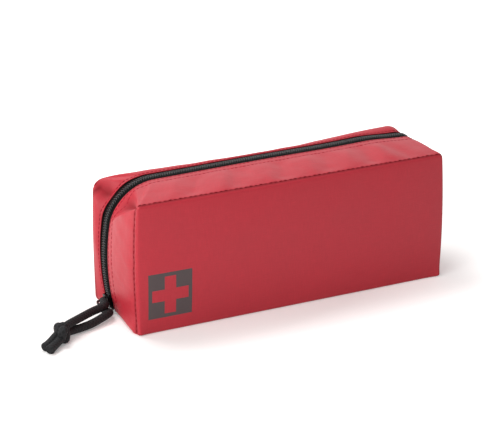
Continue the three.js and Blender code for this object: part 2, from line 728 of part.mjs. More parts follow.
function addPackets() {
  const leftCentre = contentsLeft + reelDiameter / 2;
  addPacketStack(leftCentre, frontOfContents + reelWidth + clearance, [
    ["gloves_packet", gloves, sachet],
    ["wipes_packet", wipes, paper],
    ["plaster_strip_packet", plasterStrips, paper],
  ]);
  const rightStart = bandageLeft + largeBandageWidth + zoneGap;
  addPacketStack(rightStart + compress.width / 2, frontOfContents, [
    ["wound_dressing_1", dressing, sachet],
    ["wound_dressing_2", dressing, sachet],
    ["compress_packet", compress, sachet],
    ["triangular_bandage", triangular, sachet],
    ["burn_sheet", burnSheet, paper],
    ["foil_blanket", foilBlanket, sachet],
  ]);
}

// A leaflet folded in a zigzag of three leaves, standing behind the bandages.
const leafletFront = frontOfContents + 2 * (bandageDiameter + clearance);
const leafPitch = leafThickness + leafGap;
const leafletThickness = 2 * leafPitch + leafThickness;
function addLeaflet() {
  const [width, leaf, pitch] = [leafletWidth, leafThickness, leafPitch];
  const zigzag = [
    [0, 0], [width, 0], [width, pitch + leaf], [leaf, pitch + leaf], [leaf, 2 * pitch],
    [width, 2 * pitch], [width, leafletThickness], [0, leafletThickness], [0, pitch],
    [width - leaf, pitch], [width - leaf, leaf], [0, leaf],
  ];
  const shape = new THREE.Shape(zigzag.map(([x, y]) => new THREE.Vector2(x, y)));
  const folded = new THREE.ExtrudeGeometry(shape, { depth: leafletHeight, bevelEnabled: false });
  addPiece("leaflet", folded.translate(bandageLeft, leafletFront, floorOfContents), paper());
}

// ---- The scissors ----
// One half, drawn along X from its tip to its bow; the blade lies on the side given by up.
function scissorsHalf(up, y) {
  const points = (list) => new THREE.Shape(list.map(([x, z]) => new THREE.Vector2(x, up * z)));
  const blade = points([
    [bladeLength, 0], [bladeLength - bladeTip, bladeTip], [bladeRoot, bladeRoot - bladeLap],
    [0, bladeRoot - bladeLap], [-bladeRoot, shankWidth / 2], [-bladeRoot, -bladeLap - shankWidth / 2],
    [0, -bladeLap],
  ]);
  const bowRight = -shankLength + bowHalfLength * 0.7;
  const shank = points([
    [-bladeRoot * 0.6, shankWidth / 2], [-bladeRoot * 0.6, -bladeLap - shankWidth / 2],
    [bowRight, -bowOffset - shankWidth / 2], [bowRight, -bowOffset + shankWidth],
  ]);
  const bow = new THREE.Shape();
  bow.absellipse(-shankLength, -up * bowOffset, bowHalfLength, bowHalfHeight, 0, 2 * Math.PI);
  const hole = new THREE.Path();
  const [holeLong, holeHigh] = [bowHalfLength - bowBar, bowHalfHeight - bowBar];
  hole.absellipse(-shankLength, -up * bowOffset, holeLong, holeHigh, 0, 2 * Math.PI);
  const plate = (shape) => uprightPlate(shape, y, halfThickness, 8);
  const eye = new THREE.Path().absarc(0, 0, rivetRadius + clearance, 0, 2 * Math.PI);
  const whole = join(plate(blade), plate(shank), plate(bow));
  const through = (path) =>
    uprightPlate(new THREE.Shape(path.getPoints(8)), y - halfThickness, 3 * halfThickness);
  return cut(whole, through(eye), through(hole));
}

const scissorsFront = leafletFront + leafletThickness + clearance + rivetHeadThickness + clearance;
const scissorsBack = scissorsFront + halfThickness + clearance;
const tilt = degToRad(scissorsTilt);
const scissorsPivotZ = floorOfContents + shankLength * Math.sin(tilt) + bowOffset * Math.cos(tilt)
  + Math.hypot(bowHalfLength * Math.sin(tilt), bowHalfHeight * Math.cos(tilt));

function addScissors() {
  const place = (geometry) => geometry.rotateY(-tilt).translate(scissorsPivotX, 0, scissorsPivotZ);
  addPiece("scissors_fixed_half", place(scissorsHalf(1, scissorsFront)), steel());
  addPiece("scissors_moving_half", place(scissorsHalf(-1, scissorsBack)), steel());
  const low = scissorsFront - clearance - rivetHeadThickness;
  const high = scissorsBack + halfThickness + clearance + rivetHeadThickness;
  const profile = [
    [0, low], [rivetHeadRadius, low], [rivetHeadRadius, low + rivetHeadThickness],
    [rivetRadius, low + rivetHeadThickness], [rivetRadius, high - rivetHeadThickness],
    [rivetHeadRadius, high - rivetHeadThickness], [rivetHeadRadius, high], [0, high],
  ];
  const rivet = new THREE.LatheGeometry(profile.map(([r, y]) => new THREE.Vector2(r, y)), 12);
  addPiece("scissors_rivet", place(rivet), steel());
}

addFrontBasePanel();
addRearPanel();
addStrips();
addZip();
addSlider();
addPullCord();
addPlasterSpool();
addBandages();
addPackets();
addLeaflet();
addScissors();

export default kit;
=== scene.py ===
import math
from contextlib import contextmanager

import bmesh
import bpy
from mathutils import Matrix, Vector, noise


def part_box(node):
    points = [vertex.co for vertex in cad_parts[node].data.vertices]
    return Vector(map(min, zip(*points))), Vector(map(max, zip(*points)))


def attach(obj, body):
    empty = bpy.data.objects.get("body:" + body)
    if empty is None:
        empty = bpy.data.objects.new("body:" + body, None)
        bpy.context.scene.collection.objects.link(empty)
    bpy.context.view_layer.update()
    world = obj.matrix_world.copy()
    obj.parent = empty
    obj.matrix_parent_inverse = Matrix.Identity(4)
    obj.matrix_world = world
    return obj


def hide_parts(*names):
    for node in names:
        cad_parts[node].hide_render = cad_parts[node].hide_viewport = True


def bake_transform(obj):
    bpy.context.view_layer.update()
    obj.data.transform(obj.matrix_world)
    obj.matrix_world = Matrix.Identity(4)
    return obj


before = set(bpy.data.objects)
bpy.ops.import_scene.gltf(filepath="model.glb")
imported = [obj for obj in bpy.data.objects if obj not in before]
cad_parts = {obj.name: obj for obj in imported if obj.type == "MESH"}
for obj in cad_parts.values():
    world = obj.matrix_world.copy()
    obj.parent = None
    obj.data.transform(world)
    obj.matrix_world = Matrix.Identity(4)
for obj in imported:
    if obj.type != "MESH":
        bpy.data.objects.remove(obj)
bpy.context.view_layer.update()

bl_info = {
    "name": "First Aid Bag",
    "version": (1, 0, 0),
    "blender": (4, 5, 0),
    "location": "View3D > Sidebar > First Aid",
    "description": "Dresses the first aid bag: coated cloth, zip, pull cord and contents",
    "category": "Object",
}

MM = 0.001
TURN = 2 * math.pi

# ---- The bag's form, in millimetres, as it was sewn ----
HALF_LENGTH = 125.0
HALF_DEPTH = 37.5
HEIGHT = 97.5
ZIP_DEPTH = 17.5          # the zip line stands this far behind the middle
BAND_HALF = 6.8           # half the black band between the red edges
COUNTS = {"bottom": 8, "side": 38, "corner": 26, "top": 96}
LEAN = 0.0165             # the fuller right end stands higher, by this much for each millimetre
LEAN_START = 66.0         # below this height the ends don't lean
STRIP_RUN = 430.0         # length of a strip of cloth round both ends and the top


def bulged(bulge, top_radius, out=0.0):
    """An end of a seam that swells from a straight line between floor and top."""
    level = HEIGHT / 2
    return {
        "reach": HALF_LENGTH + out + bulge,
        "side_radius": (level**2 + bulge**2) / (2 * bulge),
        "level": level,
        "top_radius": top_radius,
    }


# A line's lift raises or lowers its top. The zip's sags to the right of the middle and drops at the
# right end, and the rear seam's hangs in the middle.
FRONT_SEAM = {
    "left": bulged(1.6, 4.0),
    "right": bulged(1.6, 4.0, 1.4),
    "top": HEIGHT,
    "bottom_radius": 2.0,
    "lift": lambda x: 0.0,
}
ZIP_LINE = {
    "left": {"reach": HALF_LENGTH + 1.2, "side_radius": 160.0, "level": 42.0, "top_radius": 36.0},
    "right": {"reach": HALF_LENGTH + 8.5, "side_radius": 180.0, "level": 60.0, "top_radius": 9.0},
    "top": HEIGHT + 1.1,
    "bottom_radius": 5.0,
    "lift": lambda x: LEAN * x - 0.8 * near(x - 60.0, 42.0) - 2.7 * smoothstep((x - 85.0) / 40.0),
}
REAR_SEAM = {
    "left": bulged(0.7, 9.0, 0.3),
    "right": bulged(0.4, 8.0, 4.0),
    "top": HEIGHT,
    "bottom_radius": 6.0,
    "lift": lambda x: LEAN * x - 4.2 * math.cos(math.pi * x / (2 * HALF_LENGTH)) ** 2,
}


def clamp(value, low=0.0, high=1.0):
    return max(low, min(high, value))


def smoothstep(value):
    share = clamp(value)
    return share * share * (3 - 2 * share)


def lerp(start, end, share):
    return start + (end - start) * share


def near(distance, width):
    """1 at a line and fading to 0 away from it."""
    return math.exp(-((distance / width) ** 2))


def outline_end(end, line, counts):
    """One end of an outline from the floor up to the top edge, as (out, z, n_out, n_z)."""
    radius, level = end["side_radius"], end["level"]
    centre = end["reach"] - radius
    low_radius, top_radius = line["bottom_radius"], end["top_radius"]

    def tangent_centre(height, small):
        return centre + math.sqrt((radius - small) ** 2 - (height - level) ** 2)

    low_centre = tangent_centre(low_radius, low_radius)
    top_height = line["top"] - top_radius
    top_centre = tangent_centre(top_height, top_radius)
    low_angle = math.atan2(low_radius - level, low_centre - centre)
    high_angle = math.atan2(top_height - level, top_centre - centre)
    arcs = [
        (low_centre, low_radius, low_radius, -math.pi / 2, low_angle, counts["bottom"]),
        (centre, level, radius, low_angle, high_angle, counts["side"]),
        (top_centre, top_height, top_radius, high_angle, math.pi / 2, counts["corner"]),
    ]
    stations = []
    for out, height, size, start, stop, pieces in arcs:
        for step in range(pieces):
            angle = lerp(start, stop, step / pieces)
            away, up = math.cos(angle), math.sin(angle)
            stations.append((out + size * away, height + size * up, away, up))
    return stations, top_centre


def outline(line, counts=COUNTS):
    """Stations (x, z, nx, nz) round an outline from the left foot over the top to the right foot."""
    left, left_centre = outline_end(line["left"], line, counts)
    right, right_centre = outline_end(line["right"], line, counts)
    pieces = counts["top"]
    top = [
        (lerp(-left_centre, right_centre, k / pieces), line["top"], 0.0, 1.0)
        for k in range(pieces + 1)
    ]
    stations = [(-x, z, -nx, nz) for x, z, nx, nz in left] + top + right[::-1]
    lean_span = line["top"] - LEAN_START
    return [
        (x, z + line["lift"](x) * smoothstep((z - LEAN_START) / lean_span), nx, nz)
        for x, z, nx, nz in stations
    ]


FRONT_STATIONS = outline(FRONT_SEAM)
ZIP_STATIONS = outline(ZIP_LINE)
REAR_STATIONS = outline(REAR_SEAM)
STATION_COUNT = len(ZIP_STATIONS)


# ---- Folds and puckers of the filled cloth ----
SEAM_TUCK = 1.1           # the panels turn in by this much at a seam
SEAM_INSET = 0.4          # and the outline is that much smaller there
SEAM_VALLEY = 2.4         # from an upright seam to the lowest line of the valley beside it
VALLEY_DEPTH = 0.7
ROW_DENT = 0.3            # a row of stitches pulls the cloth in by this much, over this width
ROW_WIDTH = 0.7
FRONT_STRIP = 46.8        # from the front seam to the zip's red edge
REAR_STRIP = 13.0
STITCH_ROWS = (1.6, 8.0)  # of the double line beside the zip, from the red edge
TAPE_UNDER_CLOTH = 1.15   # from the cloth's outer face to the tape's, where the two are sewn together


def rumple(point, scale, seed):
    """Smooth noise from -1 to 1 with the given size in millimetres."""
    return noise.noise(point / scale + Vector((seed, seed * 2.7, seed * 5.1)))


def floor_spread(share):
    """How far the filled bag's foot spreads between the front seam and the zip."""
    return 2.3 * smoothstep(share / 0.15) * (1 - 0.8 * share**2)


def strip_frame(seam_stations, seam_depth, side, index, share):
    """Point and way out on a strip, for a share of the way from its seam to the zip's edge."""
    x0, z0, nx0, nz0 = seam_stations[index]
    x1, z1, nx1, nz1 = ZIP_STATIONS[index]
    normal = Vector((lerp(nx0, nx1, share), 0.0, lerp(nz0, nz1, share))).normalized()
    edge_depth = ZIP_DEPTH + side * BAND_HALF
    corner = 2 * abs(normal.x * normal.z)
    off_floor = 1 - max(0.0, -normal.z)
    hollow = -2.2 if x1 < 0 else -0.1  # the strip sinks in at its round corners, most at the slack end
    swell = lerp(1.2, hollow, corner) * math.sin(math.pi * share) * off_floor
    point = Vector((lerp(x0, x1, share), lerp(seam_depth, edge_depth, share), lerp(z0, z1, share)))
    point += normal * swell
    if side < 0:
        point.x += math.copysign(floor_spread(share), point.x) * (1 - smoothstep(point.z / 11.0))
    return point, normal


def off_the_floor(point, normal):
    """No fold dips below the floor."""
    return smoothstep((point.z - 0.5) / 6.0) if normal.z < 0.5 else 1.0


# Soft folds across the top of the front gusset: (x where it meets the middle, slant, height, width)
TOP_FOLDS = ((-84, 0.5, 0.8, 6), (-66, 0.6, -0.9, 6), (-47, 0.5, 0.8, 7), (-33, 0.5, -0.8, 6),
             (-12, 0.4, 0.9, 8), (3, 0.4, -0.9, 6), (24, 0.3, 0.8, 8), (39, 0.3, -0.8, 6),
             (58, 0.1, 0.9, 8), (72, 0.1, -1.0, 7), (86, 0.0, 1.0, 7), (99, -0.1, -0.7, 6))
# Creases that fan out from the square corners of a seam: (angle from the side, height, width)
CORNER_CREASES = ((12, 2.4, 9), (39, -4.4, 11), (64, 1.8, 8), (81, -0.6, 6))


def folds_across(point, from_zip, normal):
    """The shallow slanting folds of cloth that is pulled by a full bag below it."""
    if normal.z < 0.6:
        return 0.0
    middle = FRONT_STRIP / 2
    return sum(height * near(point.x - x - slant * (middle - from_zip), width)
               for x, slant, height, width in TOP_FOLDS)


def creases(normal):
    """The slack left end is creased deeply, the full right end hardly."""
    angle = math.degrees(math.atan2(normal.z, abs(normal.x)))
    depth = 1.0 if normal.x < 0 else 0.3
    return depth * sum(height * near(angle - at, width) for at, height, width in CORNER_CREASES)


def upright(normal):
    """1 where a strip stands at the bag's ends and 0 where it lies on top."""
    return smoothstep((abs(normal.x) - 0.5) / 0.4)


def arched(share):
    """0 at the seam and at the zip, and 1 a little nearer to the zip than half-way."""
    return math.sin(math.pi * share**1.3)


def corner_fold_shade(normal):
    """Painted shade in the deep fold between a square seam corner and the round zip corner."""
    angle = math.degrees(math.atan2(normal.z, abs(normal.x)))
    return 0.8 * near(angle - CORNER_CREASES[1][0], 13) if normal.x < 0 else 0.0


def seam_shade(from_seam):
    """Dark in a seam, by the distance from it."""
    return 0.8 * clamp((0.9 - from_seam) / 0.7)


def valley_shade(from_seam):
    """Dark at the foot of the valley beside an upright seam."""
    return 0.8 * near(from_seam - SEAM_VALLEY, 1.2)


def seam_tuck(from_seam):
    """How far a strip's cloth turns in right beside its seam."""
    return SEAM_INSET * math.exp(-((from_seam / 1.2) ** 1.5))


def seam_valley(from_seam, normal):
    """The cloth dips into its seam, most of all down the two sides."""
    share = from_seam / SEAM_VALLEY
    return -seam_tuck(from_seam) - upright(normal) * VALLEY_DEPTH * share * math.exp(1 - share)


def front_strip(index, share):
    """The front gusset: glossy cloth that puckers at its seam and at the round zip corners."""
    point, normal = strip_frame(FRONT_STATIONS, SEAM_TUCK - HALF_DEPTH, -1, index, share)
    from_seam = share * FRONT_STRIP
    from_zip = FRONT_STRIP - from_seam
    middle = math.sin(math.pi * share)
    along = point.x if abs(normal.z) > abs(normal.x) else point.z
    fold = 0.6 * rumple(point, 28.0, 3.1) * middle
    fold += 0.3 * rumple(point, 10.0, 5.7) * middle
    # Small folds, and the large ones above, slant across the strip and end at the stitches
    fine = Vector((along - 0.5 * from_seam, from_seam * 0.22, 0.0))
    beyond_rows = smoothstep((from_zip - STITCH_ROWS[1] + 1.5) / 11.0)
    fold += 0.38 * rumple(fine, 6.5, 14.2) * beyond_rows * smoothstep(from_seam / 3.0)
    fold += folds_across(point, from_zip, normal) * beyond_rows * smoothstep(from_seam / 9.0)
    fold += creases(normal) * arched(share)
    # Puckers, where the thread gathers the cloth: along the seam and between the two rows
    fold += 0.2 * math.sin(along / 1.5 + 3 * rumple(point, 30.0, 8.3)) * math.exp(-from_seam / 4.5)
    fold += 0.26 * math.sin(along / 1.2 + 3 * rumple(point, 22.0, 1.9)) * near(from_zip - 5.0, 3.0)
    fold -= ROW_DENT * sum(near(from_zip - row, ROW_WIDTH) for row in STITCH_ROWS)
    fold *= off_the_floor(point, normal)
    return point + normal * (fold + seam_valley(from_seam, normal) * (1 - max(0.0, -normal.z))), normal


def rear_strip(index, share):
    """The narrow strip behind the zip, pinched where the square back meets the round corner."""
    point, normal = strip_frame(REAR_STATIONS, HALF_DEPTH - SEAM_TUCK, 1, index, share)
    from_seam = share * REAR_STRIP
    from_zip = REAR_STRIP - from_seam
    fold = 0.45 * rumple(point, 17.0, 12.4) * math.sin(math.pi * share)
    fold += 0.8 * creases(normal) * math.sin(math.pi * share)
    fold -= ROW_DENT * near(from_zip - STITCH_ROWS[0], ROW_WIDTH)
    return point + normal * (fold * off_the_floor(point, normal) - seam_tuck(from_seam)), normal


def zip_tape_point(strip, side, index, across):
    """The black tape beside the chain; under the red edge it lies against the cloth's inside."""
    x, z, nx, nz = ZIP_STATIONS[index]
    normal = Vector((nx, 0.0, nz))
    middle = Vector((x, ZIP_DEPTH, z))
    if across <= BAND_HALF - 0.3:  # bare between the red edges, and dipping under them
        sink = -0.35 - 0.8 * smoothstep((across - 5.0) / 1.6)
        return middle + Vector((0, side * across, 0)) + normal * sink
    width = FRONT_STRIP if side < 0 else REAR_STRIP
    point, normal = strip(index, 1 - (across - BAND_HALF) / width)
    return point - normal * TAPE_UNDER_CLOTH


def resample(places, step):
    """Points and directions at equal steps along a row of (point, normal) places."""
    samples, travelled, target = [], 0.0, step / 2
    for (start, normal), (stop, _) in zip(places, places[1:]):
        length = (stop - start).length
        while length > 0 and target <= travelled + length:
            share = (target - travelled) / length
            samples.append((start.lerp(stop, share), normal, (stop - start).normalized()))
            target += step
        travelled += length
    return samples


def fine_zip_line(step):
    """Samples of the zip line at equal steps, as (point, normal, direction)."""
    fine = outline(ZIP_LINE, {"bottom": 30, "side": 90, "corner": 90, "top": 160})
    places = [(Vector((x, ZIP_DEPTH, z)), Vector((nx, 0.0, nz))) for x, z, nx, nz in fine]
    return resample(places, step)


# ---- Modelling helpers ----
BAG_AND_LID = "bag and lid"


def deselect():
    if bpy.context.object and bpy.context.object.mode != "OBJECT":
        bpy.ops.object.mode_set(mode="OBJECT")
    bpy.ops.object.select_all(action="DESELECT")


def choose(piece):
    deselect()
    piece.select_set(True)
    bpy.context.view_layer.objects.active = piece


@contextmanager
def editing(piece):
    """Edit mode, with all of the piece selected."""
    choose(piece)
    bpy.ops.object.mode_set(mode="EDIT")
    bpy.ops.mesh.select_all(action="SELECT")
    yield
    bpy.ops.object.mode_set(mode="OBJECT")


def name_piece(name):
    """The active object gets the name, and its mesh the same."""
    piece = bpy.context.object
    piece.name = name
    piece.data.name = name
    return piece


def sheet_grid(name, columns, rows, place, size, shade=None):
    """A sheet from a grid primitive: place(i, j) gives each corner in millimetres.

    Its UV map holds millimetres along and across, so that a weave keeps its real size. shade(i, j)
    from 0 to 1 is kept as an attribute for the painted shade in seams and deep folds.
    """
    deselect()
    bpy.ops.mesh.primitive_grid_add(x_subdivisions=columns, y_subdivisions=rows, size=1)
    piece = name_piece(name)
    steps = [(round((v.co.x + 0.5) * columns), round((v.co.y + 0.5) * rows))
             for v in piece.data.vertices]
    for vertex, (i, j) in zip(piece.data.vertices, steps):
        vertex.co = place(i, j) * MM
    uv_map = piece.data.uv_layers[0]
    for loop in piece.data.loops:
        i, j = steps[loop.vertex_index]
        uv_map.data[loop.index].uv = (i / columns * size[0], j / rows * size[1])
    if shade:
        attribute = piece.data.attributes.new("shade", "FLOAT", "POINT")
        for value, (i, j) in zip(attribute.data, steps):
            value.value = shade(i, j)
    piece.data.update()
    return piece


def merge_seam(piece):
    """Joins the edges that meet where sheets close to a solid, and turns its faces out."""
    with editing(piece):
        bpy.ops.mesh.remove_doubles(threshold=0.01 * MM)
        bpy.ops.mesh.normals_make_consistent(inside=False)


def make_smooth(piece, subdivisions=1):
    """Applies a piece's modifiers, with a subdivision surface as the last of them."""
    if subdivisions:
        smooth = piece.modifiers.new("smooth", "SUBSURF")
        smooth.levels = smooth.render_levels = subdivisions
    choose(piece)
    for modifier in list(piece.modifiers):
        bpy.ops.object.modifier_apply(modifier=modifier.name)
    bpy.ops.object.shade_smooth()


def give_thickness(piece, thickness, subdivisions=1):
    """A sheet gets its thickness inward and is smoothed; the sheet stays the outer face."""
    solidify = piece.modifiers.new("thickness", "SOLIDIFY")
    solidify.thickness = thickness * MM
    solidify.offset = -1.0
    make_smooth(piece, subdivisions)


def face_away(piece, inside=(0.0, 0.0, 48.0)):
    """Turns an open sheet so that its faces look away from a point in millimetres."""
    centre = Vector(inside) * MM
    looking_out = sum(p.area * p.normal.dot(p.center - centre) for p in piece.data.polygons)
    if looking_out < 0:
        with editing(piece):
            bpy.ops.mesh.flip_normals()


def tube(name, points, radius, sides):
    """A round tube along points in millimetres, closed at both ends, with UVs along and around."""
    centres = [Vector(p) for p in points]
    lengths = [0.0]
    for start, stop in zip(centres, centres[1:]):
        lengths.append(lengths[-1] + (stop - start).length)
    frames = []
    side = None
    for k in range(len(centres)):
        ahead = (centres[min(k + 1, len(centres) - 1)] - centres[max(k - 1, 0)]).normalized()
        if side is None:
            side = ahead.orthogonal().normalized()
        side = (side - ahead * side.dot(ahead)).normalized()
        frames.append((side.copy(), ahead.cross(side)))

    def place(i, j):
        across, up = frames[i]
        angle = TURN * j / sides
        size = radius(lengths[i] / lengths[-1]) if callable(radius) else radius
        return centres[i] + (across * math.cos(angle) + up * math.sin(angle)) * size

    piece = sheet_grid(name, len(centres) - 1, sides, place, (lengths[-1], 1.0))
    with editing(piece):
        bpy.ops.mesh.remove_doubles(threshold=0.005 * MM)
        bpy.ops.mesh.select_all(action="DESELECT")
        bpy.ops.mesh.select_mode(type="EDGE")
        bpy.ops.mesh.select_non_manifold(extend=False)
        bpy.ops.mesh.edge_face_add()
        bpy.ops.mesh.select_all(action="SELECT")
        bpy.ops.mesh.normals_make_consistent(inside=False)
    bpy.ops.object.shade_smooth_by_angle(angle=math.radians(50))
    return piece


def smooth_route(points, count):
    """A smooth curve (Catmull-Rom) through the points, resampled at equal steps, and its length."""
    knots = [Vector(p) for p in points]
    knots = [knots[0] * 2 - knots[1]] + knots + [knots[-1] * 2 - knots[-2]]
    fine, pieces = [], 24
    for a, b, c, d in zip(knots, knots[1:], knots[2:], knots[3:]):
        for step in range(pieces):
            t = step / pieces
            fine.append(0.5 * (2 * b + (c - a) * t + (2 * a - 5 * b + 4 * c - d) * t**2
                               + (3 * b - a - 3 * c + d) * t**3))
    fine.append(knots[-2])
    total = sum((q - p).length for p, q in zip(fine, fine[1:]))
    samples, travelled, target = [fine[0]], 0.0, total / (count - 1)
    for start, stop in zip(fine, fine[1:]):
        length = (stop - start).length
        while len(samples) < count - 1 and target <= travelled + length:
            samples.append(start.lerp(stop, (target - travelled) / length))
            target += total / (count - 1)
        travelled += length
    return samples + [fine[-1]], total


def place_copies(name, pattern, matrices):
    """One mesh that repeats a small pattern mesh at each place."""
    joined = bmesh.new()
    for matrix in matrices:
        start = len(joined.verts)
        joined.from_mesh(pattern)
        joined.verts.ensure_lookup_table()
        bmesh.ops.transform(joined, matrix=matrix, verts=joined.verts[start:])
    mesh = bpy.data.meshes.new(name)
    joined.to_mesh(mesh)
    joined.free()
    piece = bpy.data.objects.new(name, mesh)
    bpy.context.collection.objects.link(piece)
    choose(piece)
    bpy.ops.object.shade_smooth()
    return piece


def join_pieces(name, pieces):
    deselect()
    for piece in pieces:
        piece.select_set(True)
    bpy.context.view_layer.objects.active = pieces[0]
    bpy.ops.object.join()
    return name_piece(name)


def finish_piece(piece, material, slot, body, *replaced):
    """Gives a piece its material, what it rides on and the CAD nodes it stands for.

    Cloth that is sewn to the base and opens with the lid rides on neither: its place is baked into
    its mesh.
    """
    piece.data.materials.clear()
    piece.data.materials.append(material)
    if replaced:
        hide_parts(*replaced)
    if body == BAG_AND_LID:
        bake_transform(piece)
    else:
        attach(piece, body)


def dress_nodes(material, *names):
    """A CAD node whose shape is right keeps it and gets its real finish."""
    for name in names:
        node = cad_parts[name]
        node.data.materials.clear()
        node.data.materials.append(material)


# ---- Materials ----
def linear(hex_colour):
    """An sRGB hex colour as a linear RGBA tuple."""
    channels = [int(hex_colour[k:k + 2], 16) / 255 for k in (1, 3, 5)]
    return (*[c / 12.92 if c <= 0.04045 else ((c + 0.055) / 1.055) ** 2.4 for c in channels], 1.0)


def tone(colour, factor):
    """A colour made darker or lighter by a factor."""
    return tuple(min(1.0, factor * c) for c in tuple(colour)[:3]) + (1.0,)


def in_shade(colour):
    """Painted shade colour: the deeper, purer red of coated cloth lit only by light from the cloth."""
    red, green, blue = tuple(colour)[:3]
    return (0.4 * red, 0.1 * green, 0.2 * blue, 1.0)


def new_material(name):
    """A material, its tree and shader, and two coordinates: the place in space and the UV map's."""
    material = bpy.data.materials.new(name)
    material.use_nodes = True
    tree = material.node_tree
    tree.nodes.clear()
    shader = add_node(tree, "ShaderNodeBsdfPrincipled")
    add_node(tree, "ShaderNodeOutputMaterial", {"Surface": shader.outputs["BSDF"]})
    place = add_node(tree, "ShaderNodeTexCoord")
    return material, tree, shader, place.outputs["Object"], place.outputs["UV"]


def set_inputs(tree, node, inputs):
    """Links sockets and sets plain values on a node's inputs."""
    for key, value in inputs.items():
        if isinstance(value, bpy.types.NodeSocket):
            tree.links.new(value, node.inputs[key])
        else:
            node.inputs[key].default_value = value


def add_node(tree, kind, inputs=None, **settings):
    """Adds a node, sets its properties, and sets or links its inputs."""
    node = tree.nodes.new(kind)
    for key, value in settings.items():
        setattr(node, key, value)
    set_inputs(tree, node, inputs or {})
    return node


def sum_up(tree, operation, first, second=0.0):
    """One step of arithmetic on two sockets or numbers."""
    return add_node(tree, "ShaderNodeMath", {0: first, 1: second}, operation=operation).outputs[0]


def blend_colours(tree, factor, first, second):
    inputs = {0: factor, 6: first, 7: second}
    return add_node(tree, "ShaderNodeMix", inputs, data_type="RGBA").outputs[2]


def spread(tree, value, low, high, start=0.0, stop=1.0):
    """Maps a value's span onto another."""
    inputs = {"Value": value, "From Min": start, "From Max": stop, "To Min": low, "To Max": high}
    return add_node(tree, "ShaderNodeMapRange", inputs).outputs["Result"]


def grains(tree, coordinate, size, detail=2.0):
    """Soft noise from 0 to 1 with grains of the given millimetres."""
    inputs = {"Vector": coordinate, "Scale": 1 / (size * MM), "Detail": detail}
    return add_node(tree, "ShaderNodeTexNoise", inputs).outputs["Fac"]


def relief(tree, height, depth, strength=1.0, below=None):
    """Bump of the given millimetres, on top of another one if given."""
    inputs = {"Height": height, "Distance": depth * MM, "Strength": strength}
    if below is not None:
        inputs["Normal"] = below
    return add_node(tree, "ShaderNodeBump", inputs).outputs["Normal"]


def weave(tree, coordinate, pitch):
    """Height of a plain weave over a UV map in millimetres: threads over and under each other."""
    parts = add_node(tree, "ShaderNodeSeparateXYZ", {"Vector": coordinate})
    waves = [sum_up(tree, "SINE", sum_up(tree, "MULTIPLY", parts.outputs[axis], TURN / pitch))
             for axis in ("X", "Y")]
    return sum_up(tree, "MULTIPLY", waves[0], waves[1])


# The print on the front panel: a dark square with a plain cross left free in it
PRINT = {"left": -117.6, "right": -83.6, "foot": 11.4, "head": 45.4, "arm": 4.4, "margin": 2.9}


def cross_mask(tree, position):
    """1 on the dark square and 0 on its cross and everywhere else."""
    parts = add_node(tree, "ShaderNodeSeparateXYZ", {"Vector": position})
    half = (PRINT["right"] - PRINT["left"]) / 2

    def distance(axis, low, high):
        away = sum_up(tree, "SUBTRACT", parts.outputs[axis], (low + high) / 2 * MM)
        return sum_up(tree, "ABSOLUTE", away)

    def within(value, limit):
        return sum_up(tree, "LESS_THAN", value, limit * MM)

    across = distance("X", PRINT["left"], PRINT["right"])
    up = distance("Z", PRINT["foot"], PRINT["head"])
    square = sum_up(tree, "MULTIPLY", within(across, half), within(up, half))
    reach = half - PRINT["margin"]
    level_arm = sum_up(tree, "MULTIPLY", within(across, reach), within(up, PRINT["arm"]))
    upright_arm = sum_up(tree, "MULTIPLY", within(up, reach), within(across, PRINT["arm"]))
    cross = sum_up(tree, "MAXIMUM", level_arm, upright_arm)
    front = sum_up(tree, "LESS_THAN", parts.outputs["Y"], -30 * MM)
    return sum_up(tree, "MULTIPLY", sum_up(tree, "SUBTRACT", square, cross), front)


def slubs(tree, coordinate, along, across):
    """Threads a little thicker in places: noise drawn out along the threads, in millimetres."""
    mapped = {"Vector": coordinate, "Scale": (1 / along, 1 / across, 1.0)}
    stretched = add_node(tree, "ShaderNodeMapping", mapped).outputs[0]
    return grains(tree, stretched, 1 / MM)


def coated_nylon(name, colour, ink=None):
    """Nylon taffeta with a thin satin coating.

    The coating shines broadly and softly, the fine weave breaks the shine up, and handling has
    left small rumples. The print is a matt ink on the coating. Seams and deep folds get painted
    shade: the shade attribute darkens their colour to a deeper red.
    """
    material, tree, shader, position, threads = new_material(name)
    patches = grains(tree, position, 45.0)
    base = blend_colours(tree, patches, tone(colour, 0.94), tone(colour, 1.06))
    warp, weft = slubs(tree, threads, 9.0, 0.5), slubs(tree, threads, 0.5, 9.0)
    thread = sum_up(tree, "MULTIPLY", sum_up(tree, "ADD", warp, weft), 0.5)
    base = blend_colours(tree, spread(tree, thread, 0.84, 1.0, 0.38, 0.6), tone(colour, 0.6), base)
    base = blend_colours(tree, spread(tree, thread, 0.0, 0.09, 0.5, 0.66), base, tone(colour, 1.5))
    # Painted shade: the shade attribute darkens seams and deep folds to a deeper red
    shade = add_node(tree, "ShaderNodeAttribute", attribute_name="shade").outputs["Fac"]
    base = blend_colours(tree, shade, base, in_shade(colour))
    dulled = sum_up(tree, "MULTIPLY", shade, 0.35)
    roughness = sum_up(tree, "ADD", spread(tree, patches, 0.4, 0.5), dulled)
    if ink is not None:
        printed = cross_mask(tree, position)
        base = blend_colours(tree, printed, base, ink)
        roughness = sum_up(tree, "ADD", roughness, sum_up(tree, "MULTIPLY", printed, 0.2))
    soft = relief(tree, grains(tree, position, 9.0, 3.0), 0.5, 0.5)
    fine = relief(tree, thread, 0.15, 0.5, soft)
    set_inputs(tree, shader, {"Base Color": base, "Roughness": roughness, "Normal": fine,
                              "Specular IOR Level": 0.36})
    return material


